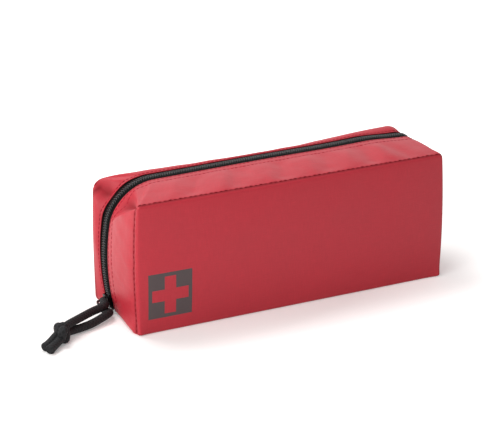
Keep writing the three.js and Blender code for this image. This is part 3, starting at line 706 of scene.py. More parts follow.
def woven_tape(name, colour, pitch, roughness=0.85):
    """Woven polyester tape: matt threads, lighter on their crowns, with painted shade in the dips."""
    material, tree, shader, position, threads = new_material(name)
    thread = weave(tree, threads, pitch)
    speckle = grains(tree, position, 1.5)
    worn = blend_colours(tree, speckle, tone(colour, 0.75), tone(colour, 1.15))
    # Painted shade: the dips between the threads are darkened in the colour
    base = blend_colours(tree, spread(tree, thread, 0.5, 0.0, -1.0, 1.0), worn, tone(colour, 0.4))
    set_inputs(tree, shader, {"Base Color": base, "Roughness": roughness, "Specular IOR Level": 0.08,
                              "Normal": relief(tree, thread, 0.1, 0.7)})
    return material


def grained(name, colour, roughness, grain, depth, contrast=0.1, specular=0.5, metallic=0.0):
    """A finish whose colour, roughness and surface vary softly with a grain in millimetres."""
    material, tree, shader, position, _ = new_material(name)
    height = grains(tree, position, grain, 3.0)
    base = blend_colours(tree, height, tone(colour, 1 - contrast), tone(colour, 1 + contrast))
    set_inputs(tree, shader, {
        "Base Color": base,
        "Roughness": spread(tree, height, roughness * 0.8, roughness * 1.2),
        "Normal": relief(tree, height, depth, 0.6),
        "Specular IOR Level": specular,
        "Metallic": metallic,
    })
    return material


def braided_cord(name, colour):
    """Braided polyester cord: yarns cross round it at a slant, matt and slightly fuzzy."""
    material, tree, shader, position, threads = new_material(name)
    parts = add_node(tree, "ShaderNodeSeparateXYZ", {"Vector": threads})
    braid_step, yarns_round = 2.6, 5
    along = sum_up(tree, "MULTIPLY", parts.outputs["X"], TURN / braid_step)
    yarns = []
    for turns in (yarns_round, -yarns_round):
        round_it = sum_up(tree, "MULTIPLY", parts.outputs["Y"], turns * TURN)
        yarns.append(sum_up(tree, "SINE", sum_up(tree, "ADD", along, round_it)))
    crossing = sum_up(tree, "MAXIMUM", yarns[0], yarns[1])
    fuzz = grains(tree, position, 0.5)
    # Painted shade and light: the dips between the crossing yarns are darkened, their crowns lightened
    crown = spread(tree, crossing, 0.0, 1.0, -0.7, 1.0)
    base = blend_colours(tree, crown, tone(colour, 0.3), tone(colour, 1.2))
    normal = relief(tree, fuzz, 0.25, 0.7, relief(tree, crossing, 0.3, 0.6))
    set_inputs(tree, shader, {"Base Color": base, "Roughness": 0.7, "Normal": normal,
                              "Specular IOR Level": 0.25})
    return material


def crepe_gauze(name, colour):
    """Elastic gauze: an open, slightly creased weave that shows as fine rings round the roll."""
    material, tree, shader, position, threads = new_material(name)
    thread = weave(tree, threads, 1.3)
    # Painted shade: the gaps of the open weave are darkened in the colour
    gap_shade = spread(tree, thread, 0.35, 0.0, -1.0, 1.0)
    base = blend_colours(tree, gap_shade, tuple(colour), tone(colour, 0.72))
    crease = grains(tree, position, 4.0, 3.0)
    normal = relief(tree, thread, 0.2, 0.8, relief(tree, crease, 0.4, 0.4))
    set_inputs(tree, shader, {"Base Color": base, "Roughness": 0.95, "Sheen Weight": 0.2,
                              "Normal": normal})
    return material


def crinkled_film(name, colour, roughness, metallic=0.0):
    """Thin packet film or paper over soft goods, crinkled in flat facets."""
    material, tree, shader, position, _ = new_material(name)
    facets = add_node(tree, "ShaderNodeTexVoronoi", {"Vector": position, "Scale": 1 / (7 * MM)},
                      feature="DISTANCE_TO_EDGE").outputs["Distance"]
    soft = grains(tree, position, 6.0, 3.0)
    base = blend_colours(tree, soft, tone(colour, 0.92), tone(colour, 1.06))
    normal = relief(tree, soft, 0.6, 0.5, relief(tree, facets, 0.5, 0.35))
    set_inputs(tree, shader, {"Base Color": base, "Roughness": roughness, "Metallic": metallic,
                              "Normal": normal})
    return material


# ---- Sizes and colours that a user would change ----
def colour_property(name, description, hex_colour):
    return bpy.props.FloatVectorProperty(name=name, description=description, subtype="COLOR", size=4,
                                         min=0.0, max=1.0, default=linear(hex_colour))


def length_property(name, description, millimetres):
    return bpy.props.FloatProperty(name=name, description=description, unit="LENGTH", precision=4,
                                   default=millimetres * MM)


class BagSizes(bpy.types.PropertyGroup):
    """Cloth, tapes and stitches"""
    cloth: length_property("Cloth", "Thickness of the padded bag cloth", 1.0)
    tape: length_property("Tape", "Thickness of the zip's tapes", 0.6)
    binding: length_property("Binding", "Thickness of the binding inside the seams", 1.0)
    fullness: length_property("Fullness", "How far the filled front stands out in its middle", 3.3)
    stitch_step: length_property("Stitch step", "From one stitch to the next beside the zip", 3.3)
    seam_step: length_property("Seam step", "From one stitch to the next in the front seam", 4.0)
    stitch_length: length_property("Stitch length", "Length of a stitch that shows", 2.7)


class ZipSizes(bpy.types.PropertyGroup):
    """Coil of the zip"""
    pitch: length_property("Pitch", "From one turn of a coil to the next", 1.9)
    wire: length_property("Wire", "Diameter of the coil's wire", 0.9)


class CordSizes(bpy.types.PropertyGroup):
    """Pull cord"""
    diameter: length_property("Diameter", "Diameter of the braided cord", 6.0)


class BagColours(bpy.types.PropertyGroup):
    """Colours of the pieces"""
    cloth: colour_property("Cloth", "Coated cloth of the bag", "#BF2B39")
    print: colour_property("Print", "Ink of the printed square", "#534849")
    thread: colour_property("Thread", "Sewing thread beside the zip", "#941A2A")
    # Painted shade: a darker copy of the zip thread, for the shade that the front seam lies in
    seam_thread_in_shade: colour_property("Seam thread", "Sewing thread in the front seam", "#82101F")
    binding: colour_property("Binding", "Binding inside the seams", "#A8323C")
    tape: colour_property("Zip tape", "Woven tapes of the zip", "#050505")
    coil: colour_property("Coil", "Nylon coils of the zip", "#1B1A1B")
    slider: colour_property("Slider", "Blackened zinc of the slider", "#161719")
    cord: colour_property("Cord", "Braided pull cord", "#1B1B1D")
    gauze: colour_property("Gauze", "Bandages", "#EFEDE4")
    plaster: colour_property("Plaster", "Adhesive tape on the spool", "#D9B48C")
    film: colour_property("Film", "Film of the packets", "#DCE6EA")
    paper: colour_property("Paper", "Paper of the packets and the leaflet", "#F0EDE4")


def settings(group):
    return getattr(bpy.context.scene, "first_aid_" + group)


# ---- The stage ----
# The camera looks at a point in millimetres, from this side, height and distance
VIEW = {"azimuth": math.radians(-27.986), "elevation": math.radians(19.636), "distance": 1614.34,
        "aim": Vector((-16.198, 0.0, 63.455)), "lens": 158.84}
SKY = 0.34                # the world's light on the bag; rays that look at it see 1, plain white
# Painted light: the table glows for camera, mirror and glass rays, least under the bag, so that the
# bag keeps its shadow there, and most further out, where the glow whitens the lamps' shadows away
GLOW = {"low": 0.22, "high": 0.8, "start": 70 * MM, "stop": 200 * MM}
BAG_SPREAD = (0.45, 1.0, 1.0)     # the bag is long, so distances along it count for less
BAG_OFFSET = (35 * MM, 0.0, 0.0)  # and the dim part of the glow lies toward its left end
# Softboxes: (name, place, point that it faces, side, all in millimetres, power in watts)
LAMPS = (("key lamp", (-1200, -250, 480), (0, 0, 50), 800, 6.7),
         ("top lamp", (-250, 480, 1250), (0, 0, 50), 600, 9.0),
         ("front lamp", (-560, -430, 540), (-110, 0, 65), 400, 1.85))


def aim_at(piece, direction):
    """Turns a lamp or the camera to look along a direction."""
    piece.rotation_mode = "QUATERNION"
    piece.rotation_quaternion = direction.to_track_quat("-Z", "Y")


def soft_lamp(name, place, aim, size, power):
    """A large square softbox that faces a point."""
    deselect()
    bpy.ops.object.light_add(type="AREA", location=Vector(place) * MM)
    lamp = bpy.context.object
    lamp.name = name
    lamp.data.size = size * MM
    lamp.data.energy = power
    aim_at(lamp, Vector(aim) - Vector(place))


def seen_white(tree):
    """1 for the rays that look at the background straight, in a mirror or through glass."""
    path = add_node(tree, "ShaderNodeLightPath")
    looked = sum_up(tree, "MAXIMUM", path.outputs["Is Camera Ray"], path.outputs["Is Glossy Ray"])
    return sum_up(tree, "MAXIMUM", looked, path.outputs["Is Transmission Ray"])


class BuildStage(bpy.types.Operator):
    """Pale floor, soft studio light and the camera"""
    bl_idname = "first_aid.build_stage"
    bl_label = "Stage"

    def execute(self, context):
        deselect()
        bpy.ops.mesh.primitive_grid_add(x_subdivisions=8, y_subdivisions=8, size=12.0)
        floor = name_piece("floor")
        for vertex in floor.data.vertices:
            vertex.co.z = -0.02 * MM
        material, tree, shader, position, _ = new_material("matt white table")
        pale = blend_colours(tree, grains(tree, position, 300.0), linear("#F1EFED"), linear("#F4F2F0"))
        set_inputs(tree, shader, {"Base Color": pale, "Roughness": 0.9, "Specular IOR Level": 0.1})
        flattened = {0: position, 1: BAG_SPREAD, 2: BAG_OFFSET}
        flat = add_node(tree, "ShaderNodeVectorMath", flattened, operation="MULTIPLY_ADD")
        away = add_node(tree, "ShaderNodeVectorMath", {0: flat.outputs["Vector"]}, operation="LENGTH")
        fading = spread(tree, away.outputs["Value"], **GLOW)
        # Painted light: a glow that is dim round the bag and whitens the table further out
        strength = sum_up(tree, "MULTIPLY", seen_white(tree), fading)
        glow = add_node(tree, "ShaderNodeEmission", {"Color": (1, 1, 1, 1), "Strength": strength})
        both = add_node(tree, "ShaderNodeAddShader", {0: shader.outputs["BSDF"], 1: glow.outputs[0]})
        output = next(node for node in tree.nodes if node.type == "OUTPUT_MATERIAL")
        set_inputs(tree, output, {"Surface": both.outputs[0]})
        floor.data.materials.append(material)

        world = bpy.data.worlds.new("studio")
        context.scene.world = world
        world.use_nodes = True
        tree = world.node_tree
        background = next(node for node in tree.nodes if node.type == "BACKGROUND")
        strength = spread(tree, seen_white(tree), SKY, 1.0)
        set_inputs(tree, background, {"Color": (1, 1, 1, 1), "Strength": strength})
        for lamp in LAMPS:
            soft_lamp(*lamp)

        azimuth, elevation = VIEW["azimuth"], VIEW["elevation"]
        level = math.cos(elevation)
        back = Vector((math.sin(azimuth) * level, -math.cos(azimuth) * level, math.sin(elevation)))
        deselect()
        bpy.ops.object.camera_add(location=(VIEW["aim"] + back * VIEW["distance"]) * MM)
        camera = context.object
        camera.name = "camera"
        aim_at(camera, -back)
        camera.data.lens = VIEW["lens"]
        camera.data.sensor_width = 36.0
        camera.data.clip_end = 50.0
        context.scene.camera = camera
        context.scene.view_settings.view_transform = "Standard"
        return {"FINISHED"}


# ---- The pull cord ----
UPPER_CORD = [(-129.3, 14.2, 7.2), (-129.3, 13.8, 9.2), (-129.5, 12.6, 10.4), (-129.9, 10.9, 10.5),
              (-130.4, 8.7, 10.1), (-131.2, 6.0, 9.8), (-134.4, 2.9, 10.0), (-144.6, -1.2, 9.8),
              (-157.3, -8.5, 9.9), (-169.2, -15.9, 10.2), (-174.5, -19.0, 8.8), (-180.5, -20.6, 5.6),
              (-187.2, -26.0, 4.2), (-193.8, -31.3, 3.1)]
LOWER_CORD = [(-129.3, 14.2, 7.2), (-129.2, 13.9, 5.2), (-129.1, 12.2, 3.5), (-129.0, 9.6, 3.1),
              (-128.9, 6.0, 3.9), (-129.3, 2.7, 4.7), (-130.6, 0.5, 5.4), (-132.9, -1.6, 5.6),
              (-136.0, -3.3, 5.2), (-147.9, -8.3, 3.9), (-158.7, -11.7, 3.7), (-168.2, -14.4, 4.0),
              (-174.5, -20.0, 5.2), (-180.9, -27.0, 4.6), (-187.3, -32.6, 3.8), (-192.8, -36.9, 3.1)]
KNOT = {"middle": Vector((-176.7, -21.3, 7.1)), "along": 2.5, "across": 5.7, "up": 3.7,
        "turn": Matrix.Rotation(math.radians(-11.5), 3, "Z")}
CUT_END = 0.003           # share of a cord over which its cut end rounds off
FRAYED = 0.09             # share of a cord that has opened a little toward its cut end
IN_RING = 0.1             # share of a cord that the ring squeezes


def knot_point(share):
    """A point on the wrap of an overhand knot: a trefoil, drawn tight."""
    t = TURN * share
    across = (math.sin(t) + 2 * math.sin(2 * t)) / 2.65 * KNOT["across"]
    along = -(math.cos(t) - 2 * math.cos(2 * t)) / 3 * KNOT["along"]
    return KNOT["middle"] + KNOT["turn"] @ Vector((along, across, -math.sin(3 * t) * KNOT["up"]))


class BuildPullCord(bpy.types.Operator):
    """A braided cord looped through the ring, tied in an overhand knot with two short tails"""
    bl_idname = "first_aid.build_pull_cord"
    bl_label = "Pull cord"

    def execute(self, context):
        radius = settings("cord").diameter / MM / 2
        material = braided_cord("braided polyester cord", settings("colours").cord)

        def thickness_along(share):
            """Radius: 0.7 of the cord's in the ring, 1.22 where it frays, rounded at its cut end."""
            rest = clamp((1.0 - share) / CUT_END)
            squeezed = 1 - 0.3 * (1 - smoothstep(share / IN_RING))
            opened = 1 + 0.22 * (1 - clamp((1 - share) / FRAYED)) ** 2
            return radius * squeezed * opened * (0.8 + 0.2 * math.sqrt(rest * (2 - rest)))

        knot = tube("cord_knot_wraps", [knot_point(k / 143) for k in range(144)], radius * 1.1, 20)
        finish_piece(knot, material, "cord", "puller", "cord_knot")

        for name, route, nodes in (
            ("pull_cord_long_side", UPPER_CORD, ["pull_cord_upper", "cord_tail_upper"]),
            ("pull_cord_short_side", LOWER_CORD, ["pull_cord_lower", "cord_tail_lower"]),
        ):
            path, length = smooth_route(route, 40)
            fine, _ = smooth_route(route, 110)
            cord = tube(name, fine, thickness_along, 22)
            finish_piece(cord, material, "cord", "puller", *nodes)
            settings("cord").diameter
            [tuple(p * MM) for p in path]
        return {"FINISHED"}


# ---- The cloth ----
LENGTH = 2 * HALF_LENGTH
CLOTH_RUN = 172.0         # height of the front and depth of the base, which are one piece
BINDING_WIDTH = 6.0
BINDING_UNDER_CLOTH = 1.25
SEAM_EDGES = (0.0, 0.3, 0.65, 1.05, 1.6, 2.6, 4.2)
FRONT_FOLD = 2.0          # radius of the fold between the front and the base
BACK_FOLD = 1.1
FOOT_EAR = 1.4            # the front's two lower corners stick out by this much


def panel_columns(count):
    """Shares of a panel's length: close together at its two seams and even between them."""
    inner = SEAM_EDGES[-1]
    between = [lerp(inner, LENGTH - inner, k / count) for k in range(1, count)]
    steps = list(SEAM_EDGES) + between + [LENGTH - d for d in reversed(SEAM_EDGES)]
    return [step / LENGTH for step in steps]


def panel_edges(stations):
    """Functions that give the left and right edge of a panel at a height, and its top's height."""
    inset = [(x - nx * SEAM_INSET, z - nz * SEAM_INSET) for x, z, nx, nz in stations]
    middle = len(inset) // 2
    left, right = inset[:middle], inset[middle:][::-1]

    def edge(side):
        def at_height(z):
            for (x0, z0), (x1, z1) in zip(side, side[1:]):
                if z0 <= z <= z1 and z1 > z0:
                    return lerp(x0, x1, (z - z0) / (z1 - z0))
            return side[0][0] if z < side[0][1] else side[-1][0]
        return at_height

    def top(x):
        for (x0, z0), (x1, z1) in zip(inset, inset[1:]):
            if x0 <= x <= x1 and max(z0, z1) > HEIGHT / 2:
                return lerp(z0, z1, (x - x0) / max(1e-6, x1 - x0))
        return 0.0
    return edge(left), edge(right), top


def rolled(distance):
    """How far a panel's edge turns in toward its seam, by the distance from the seam."""
    return SEAM_TUCK * (1 - clamp(distance / 2.2)) ** 2.5


def ear(x, z):
    """How far a lower corner of the front sticks out."""
    return FOOT_EAR * (near(HALF_LENGTH - abs(x), 5.0) * near(z, 5.0))


def front_face(x, z, share, lift):
    """Depth of the front panel: gently filled, rumpled along its top seam."""
    point = Vector((x, -HALF_DEPTH, z))
    fullness = settings("bag").fullness / MM
    puff = (4 * share * (1 - share)) ** 0.4 * (4 * lift * (1 - lift)) ** lerp(0.8, 0.45, lift)
    fold = 0.5 * rumple(point, 48.0, 21.0) + 0.18 * rumple(point, 17.0, 24.0)
    fold += 0.12 * math.sin(x / 1.6 + 4 * rumple(point, 34.0, 27.0)) * math.exp(-(HEIGHT - z) / 8.0)
    fold += 0.5 * near(x - 79.0, 2.2) * near(z - 88.0, 7.0)  # one short crease at the top right
    return -HALF_DEPTH - fullness * puff - fold * puff - ear(x, z)


# Where the base's edge meets the feet of the strips: (depth, stations of the line that ends there)
BASE_STOPS = ((SEAM_TUCK - HALF_DEPTH, FRONT_STATIONS), (ZIP_DEPTH, ZIP_STATIONS),
              (HALF_DEPTH - SEAM_TUCK, REAR_STATIONS))


def base_edges(depth):
    """The base's left and right edge, which reaches a little way under the ends of the zip."""
    behind = depth > ZIP_DEPTH
    (start, first), (stop, second) = BASE_STOPS[behind:behind + 2]
    share = clamp((depth - start) / (stop - start))
    wider = floor_spread(clamp((depth - BASE_STOPS[0][0]) / FRONT_STRIP)) * (1 - share if behind else 1)
    wider += 1.5 * near(depth - ZIP_DEPTH, 8.0) - 0.3
    left = lerp(first[0][0], second[0][0], share)
    return left - wider, lerp(first[-1][0], second[-1][0], share) + wider


class BuildFrontCloth(bpy.types.Operator):
    """The printed front and the base, cut in one piece"""
    bl_idname = "first_aid.build_front_cloth"
    bl_label = "Front and base"

    def execute(self, context):
        left, right, _ = panel_edges(FRONT_STATIONS)
        columns = panel_columns(84)
        top = HEIGHT - SEAM_INSET
        base_rows, fold_rows, front_rows = 20, 6, 38
        seam_rows = [top - d for d in (4.8, 3.4, 2.4, 1.6, 1.05, 0.65, 0.35, 0.15, 0.0)]
        heights = [lerp(FRONT_FOLD, seam_rows[0], k / front_rows) for k in range(front_rows)]
        heights += seam_rows
        rows = base_rows + fold_rows + len(heights) - 1

        def place(i, j):
            share = columns[i]
            if j < base_rows:
                depth = lerp(HALF_DEPTH - 1.2, FRONT_FOLD - HALF_DEPTH, j / base_rows)
                return Vector((lerp(*base_edges(depth), share), depth, 0.0))
            if j < base_rows + fold_rows:
                angle = math.pi / 2 * (j - base_rows) / fold_rows
                z = FRONT_FOLD * (1 - math.cos(angle))
                x = lerp(left(z), right(z), share)
                depth = FRONT_FOLD * (1 - math.sin(angle)) - HALF_DEPTH
                near_edge = min(x - left(z), right(z) - x)
                return Vector((x, depth + (rolled(near_edge) - ear(x, z)) * math.sin(angle), z))
            z = heights[j - base_rows - fold_rows]
            low, high = left(z), right(z)
            x = lerp(low, high, share)
            near_edge = min(x - low, high - x, top - z)
            lift = clamp((z - FRONT_FOLD) / (top - FRONT_FOLD))
            return Vector((x, front_face(x, z, share, lift) + rolled(near_edge), z))

        def shade(i, j):
            """Painted shade in the top seam and in the crease of the right-hand one."""
            height = heights[max(0, j - base_rows - fold_rows)]
            # Painted shade along the right-hand edge, which turns away from the light
            right_edge_shade = 0.6 * clamp(1 - (1 - columns[i]) * LENGTH / 1.6)
            return 0.0 if j < base_rows else max(seam_shade(top - height), right_edge_shade)

        cloth = sheet_grid("front_and_base_cloth", len(columns) - 1, rows, place, (LENGTH, CLOTH_RUN),
                           shade)
        face_away(cloth)
        give_thickness(cloth, settings("bag").cloth / MM)
        colours = settings("colours")
        material = coated_nylon("printed coated nylon", colours.cloth, tuple(colours.print))
        finish_piece(cloth, material, "bag_cloth", "bag", "front_base_panel")
        return {"FINISHED"}


# Distances from the seam to the zip's red edge, close together where the cloth bends sharply
FRONT_ROWS = (0, 0.35, 0.7, 1.1, 1.6, 2.3, 3.2, 4.4, 6, 8, 10.4, 13, 16, 19, 22, 25, 28, 31, 34,
              36.5, 38.6, 40.2, 41.4, 42.2, 42.7, 43.4, 44.2, 45.0, 45.5, 46.0, 46.4, 46.8)
REAR_ROWS = (0, 0.35, 0.7, 1.1, 1.6, 2.3, 3.3, 4.6, 6.2, 8, 9.6, 10.8, 11.5, 12.0, 12.4, 13.0)


def strip_sheet(name, strip, rows, width):
    """A strip of cloth between a seam and the zip, all the way round."""
    def place(i, j):
        return strip(i, rows[j] / width)[0]

    def shade(i, j):
        """Beside an upright seam the shade lies in the valley and leaves the ridge bright."""
        share = rows[j] / width
        _, normal = strip(i, share)
        # The deep corner fold is darkened too, as painted shade
        fold = corner_fold_shade(normal) * arched(share)
        return max(lerp(seam_shade(rows[j]), valley_shade(rows[j]), upright(normal)), fold)

    piece = sheet_grid(name, STATION_COUNT - 1, len(rows) - 1, place, (STRIP_RUN, width), shade)
    face_away(piece)
    give_thickness(piece, settings("bag").cloth / MM)
    return piece


class BuildGussets(bpy.types.Operator):
    """The two strips of cloth that carry the zip round both ends and the top"""
    bl_idname = "first_aid.build_gussets"
    bl_label = "Gussets"

    def execute(self, context):
        material = coated_nylon("coated nylon", settings("colours").cloth)
        front = strip_sheet("front_gusset_cloth", front_strip, FRONT_ROWS, FRONT_STRIP)
        finish_piece(front, material, "bag_cloth", "bag", "front_gusset")
        rear = strip_sheet("rear_gusset_cloth", rear_strip, REAR_ROWS, REAR_STRIP)
        finish_piece(rear, material, "bag_cloth", BAG_AND_LID,
                     "rear_gusset", "rear_gusset_foot_left", "rear_gusset_foot_right")
        return {"FINISHED"}


class BuildRearPanel(bpy.types.Operator):
    """The plain back of the bag, which opens with the zip"""
    bl_idname = "first_aid.build_rear_panel"
    bl_label = "Back"

    def execute(self, context):
        left, right, top_at = panel_edges(REAR_STATIONS)
        columns = panel_columns(70)
        fold_rows, back_rows = 4, 34
        seam_rows = [1.0 - d for d in (0.09, 0.066, 0.048, 0.034, 0.023, 0.015, 0.009, 0.004, 0.0)]
        shares = [lerp(0.0, seam_rows[0], k / back_rows) for k in range(back_rows)] + seam_rows

        def place(i, j):
            across = columns[i]
            if j < fold_rows:
                angle = math.pi / 2 * j / fold_rows
                z = BACK_FOLD * (1 - math.cos(angle))
                x = lerp(left(z), right(z), across)
                return Vector((x, HALF_DEPTH - BACK_FOLD * (1 - math.sin(angle)), z))
            rise = shares[j - fold_rows]
            level = lerp(BACK_FOLD, HEIGHT - 1.5, rise)
            for _ in range(4):  # the top hangs in the middle, so height and edge are found together
                x = lerp(left(level), right(level), across)
                level = lerp(BACK_FOLD, top_at(x), rise)
            x = lerp(left(level), right(level), across)
            near_edge = min(x - left(level), right(level) - x, top_at(x) - level)
            point = Vector((x, HALF_DEPTH, level))
            middle = clamp(near_edge / 14.0) * smoothstep(level / 12.0)
            dents = 0.9 + 0.9 * rumple(point, 42.0, 31.0) + 0.3 * rumple(point, 15.0, 33.0)
            return Vector((x, HALF_DEPTH - max(0.0, dents) * middle - rolled(near_edge), level))

        def shade(i, j):
            rise = (1 - shares[max(0, j - fold_rows)]) * HEIGHT
            return seam_shade(min(min(columns[i], 1 - columns[i]) * LENGTH, rise))

        panel = sheet_grid("rear_panel_cloth", len(columns) - 1, fold_rows + len(shares) - 1, place,
                           (LENGTH, HEIGHT), shade)
        face_away(panel)
        give_thickness(panel, settings("bag").cloth / MM)
        material = coated_nylon("coated nylon back", settings("colours").cloth)
        finish_piece(panel, material, "bag_cloth", BAG_AND_LID, "rear_panel")
        return {"FINISHED"}


class BuildBindings(bpy.types.Operator):
    """Ribbons sewn over the raw seam edges inside"""
    bl_idname = "first_aid.build_bindings"
    bl_label = "Seam bindings"

    def execute(self, context):
        material = woven_tape("polyester binding ribbon", settings("colours").binding, 1.2, 0.8)
        for name, strip, width, body, node, start in (
            ("front_seam_ribbon", front_strip, FRONT_STRIP, "bag", "front_seam_binding", 2),
            ("rear_seam_ribbon", rear_strip, REAR_STRIP, "lid", "rear_seam_binding", 14),
        ):
            columns, rows = STATION_COUNT - 1 - 2 * start, 5

            def place(i, j, strip=strip, width=width, start=start):
                point, normal = strip(i + start, (0.5 + j) / width)
                ripple = 0.15 * math.sin(i * 1.7) * (j / rows)
                return point - normal * (BINDING_UNDER_CLOTH + ripple)

            ribbon = sheet_grid(name, columns, rows, place, (STRIP_RUN, BINDING_WIDTH))
            face_away(ribbon)
            give_thickness(ribbon, settings("bag").binding / MM)
            finish_piece(ribbon, material, "binding_tape", body, node)
        return {"FINISHED"}


# ---- The zip ----
TAPE_ROWS = (0.7, 1.4, 2.2, 3.0, 3.8, 4.6, 5.3, 6.0, 6.8, 8.0, 9.2, 10.2)  # from the zip's middle
TAPE_WIDTH = 9.5
TAPE_FOOT = 1.2           # the tapes end this far above the floor
COIL_FOOT = 9.4           # height where the coils begin above the slider and the bottom stop
# A coil's flattened turns: how far its middle stands beside the zip's and under the cloth's level,
# and how far a turn reaches to the side and up
COIL = {"beside": 1.1, "sunk": 0.35, "across": 1.35, "up": 0.55}


class BuildZipTapes(bpy.types.Operator):
    """The two woven tapes that carry the coils"""
    bl_idname = "first_aid.build_zip_tapes"
    bl_label = "Zip tapes"

    def execute(self, context):
        material = woven_tape("woven polyester zip tape", settings("colours").tape, 0.9)
        for name, strip, side, body, nodes in (
            ("front_tape_woven", front_strip, -1, "bag", ["front_zip_tape"]),
            ("rear_tape_woven", rear_strip, 1, BAG_AND_LID,
             ["rear_zip_tape", "rear_tape_end_left", "rear_tape_end_right"]),
        ):
            def place(i, j, strip=strip, side=side):
                point = zip_tape_point(strip, side, i + 2, TAPE_ROWS[j])
                return Vector((point.x, point.y, max(point.z, TAPE_FOOT)))

            columns, rows = STATION_COUNT - 5, len(TAPE_ROWS) - 1
            tape = sheet_grid(name, columns, rows, place, (STRIP_RUN, TAPE_WIDTH))
            face_away(tape)
            give_thickness(tape, settings("bag").tape / MM)
            finish_piece(tape, material, "zip_tape", body, *nodes)
        return {"FINISHED"}


class BuildZipCoils(bpy.types.Operator):
    """Two nylon coils whose turns mesh in the middle of the zip"""
    bl_idname = "first_aid.build_zip_coils"
    bl_label = "Zip coils"

    def execute(self, context):
        material = grained("nylon coil", settings("colours").coil, 0.26, 0.8, 0.03)
        zip_sizes = settings("zip")
        turn_steps, sides = 10, 8
        line = fine_zip_line(zip_sizes.pitch / MM / turn_steps)
        samples = [sample for sample in line if sample[0].z > COIL_FOOT]
        for name, side, body, node in (("front_coil", -1, "bag", "front_zip_teeth"),
                                       ("rear_coil", 1, BAG_AND_LID, "rear_zip_teeth")):
            centres = []
            for k, (point, normal, _) in enumerate(samples):
                angle = TURN * k / turn_steps + (math.pi if side > 0 else 0.0)
                across = side * (COIL["beside"] + COIL["across"] * math.cos(angle))
                height = COIL["up"] * math.sin(angle) - COIL["sunk"]
                centres.append(point + Vector((0, across, 0)) + normal * height)
            coil = tube(name, centres, zip_sizes.wire / MM / 2, sides)
            bpy.ops.object.shade_smooth()
            finish_piece(coil, material, "zip_teeth", body, node)
        return {"FINISHED"}


def seam_row(index):
    """Where the seam's stitches show: in the seam on top, and in the valley beside it at the ends."""
    return lerp(0.5, SEAM_VALLEY, upright(front_strip(index, 0.0)[1]))


class BuildStitching(bpy.types.Operator):
    """Rows of stitches beside the zip and in the front seam"""
    bl_idname = "first_aid.build_stitching"
    bl_label = "Stitching"

    def execute(self, context):
        colours, sizes = settings("colours"), settings("bag")
        zip_thread = grained("twisted sewing thread", colours.thread, 0.7, 0.4, 0.05, specular=0.1)
        # Painted shade: the front seam's stitches get a darker copy of the zip thread
        seam_thread_in_shade = grained("sewing thread painted darker in the seam", colours.seam_thread_in_shade, 0.7, 0.4, 0.05, specular=0.1)
        deselect()
        bpy.ops.mesh.primitive_uv_sphere_add(segments=6, ring_count=4, radius=0.5 * MM)
        stitch = name_piece("stitch")
        long = sizes.stitch_length / MM
        for vertex in stitch.data.vertices:
            vertex.co = Vector((vertex.co.z * long, vertex.co.y * 0.85, vertex.co.x * 0.5))
        for name, strip, width, body, rows, step, material in (
            ("front_zip_stitches", front_strip, FRONT_STRIP, "bag",
             [FRONT_STRIP - row for row in STITCH_ROWS], sizes.stitch_step, zip_thread),
            ("front_seam_stitches", front_strip, FRONT_STRIP, "bag",
             [None], sizes.seam_step, seam_thread_in_shade),
            ("rear_zip_stitches", rear_strip, REAR_STRIP, BAG_AND_LID,
             [REAR_STRIP - STITCH_ROWS[0]], sizes.stitch_step, zip_thread),
        ):
            places = []
            for row in rows:
                depths = [seam_row(i) if row is None else row for i in range(STATION_COUNT)]
                line = [strip(i, depth / width) for i, depth in enumerate(depths)]
                line = [(point + normal * 0.1, normal) for point, normal in line if point.z > 1.0]
                for point, normal, ahead in resample(line, step / MM):
                    side = normal.cross(ahead).normalized()
                    turned = Matrix((ahead, side, ahead.cross(side))).transposed().to_4x4()
                    places.append(Matrix.Translation(point * MM) @ turned)
            stitches = place_copies(name, stitch.data, places)
            finish_piece(stitches, material, "bag_cloth", body)
        bpy.data.objects.remove(stitch)
        return {"FINISHED"}


class BuildZipMetal(bpy.types.Operator):
    """Slider, ring and stops keep their form and get their finish"""
    bl_idname = "first_aid.build_zip_metal"
    bl_label = "Slider and stops"

    def execute(self, context):
        metal = grained("blackened zinc", settings("colours").slider, 0.34, 1.2, 0.04, metallic=0.85)
        dress_nodes(metal, "zip_slider", "puller_ring")
        plastic = grained("moulded nylon stop", settings("colours").coil, 0.45, 0.7, 0.05)
        dress_nodes(plastic, "zip_top_stop_front", "zip_top_stop_rear", "zip_bottom_stop")
        return {"FINISHED"}


# ---- The contents ----
def node_box(name):
    """A node's lowest and highest corner in millimetres."""
    low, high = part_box(name)
    return Vector(low) / MM, Vector(high) / MM


class BuildBandages(bpy.types.Operator):
    """Rolled elastic gauze bandages"""
    bl_idname = "first_aid.build_bandages"
    bl_label = "Bandages"

    def execute(self, context):
        material = crepe_gauze("elastic cotton gauze", settings("colours").gauze)
        wraps, steps, core, rows, wrap_length = 8, 30, 1.9, 4, 47.0
        for number, name in enumerate(("large_bandage_1", "large_bandage_2", "large_bandage_3",
                                       "small_bandage_1", "small_bandage_2")):
            low, high = node_box(name)
            middle = (low + high) / 2
            outer = min(high.y - low.y, high.z - low.z) / 2 - 0.1
            count = wraps * steps

            def place(i, j):
                """The wraps aren't quite round, slip past each other and draw in at their waist."""
                turn = i / steps
                radius = lerp(core, outer, i / count) + 0.12 * math.sin(turn * 9.7 + number)
                angle = -TURN * turn + 0.9 * number
                slip = 0.35 * math.sin(turn * 2.3 + number) * (1 if j else -1)
                x = lerp(low.x + 0.6, high.x - 0.6, j / rows) + (slip if j in (0, rows) else 0.0)
                waist = 1 - 0.012 * math.sin(math.pi * j / rows)
                return Vector((x, middle.y + radius * waist * math.cos(angle),
                               middle.z + radius * waist * math.sin(angle)))

            roll = sheet_grid(name + "_roll", count, rows, place, (wraps * wrap_length, high.x - low.x))
            face_away(roll, tuple(middle))
            give_thickness(roll, 1.05, 0)
            finish_piece(roll, material, "gauze", "bag", name)
        return {"FINISHED"}


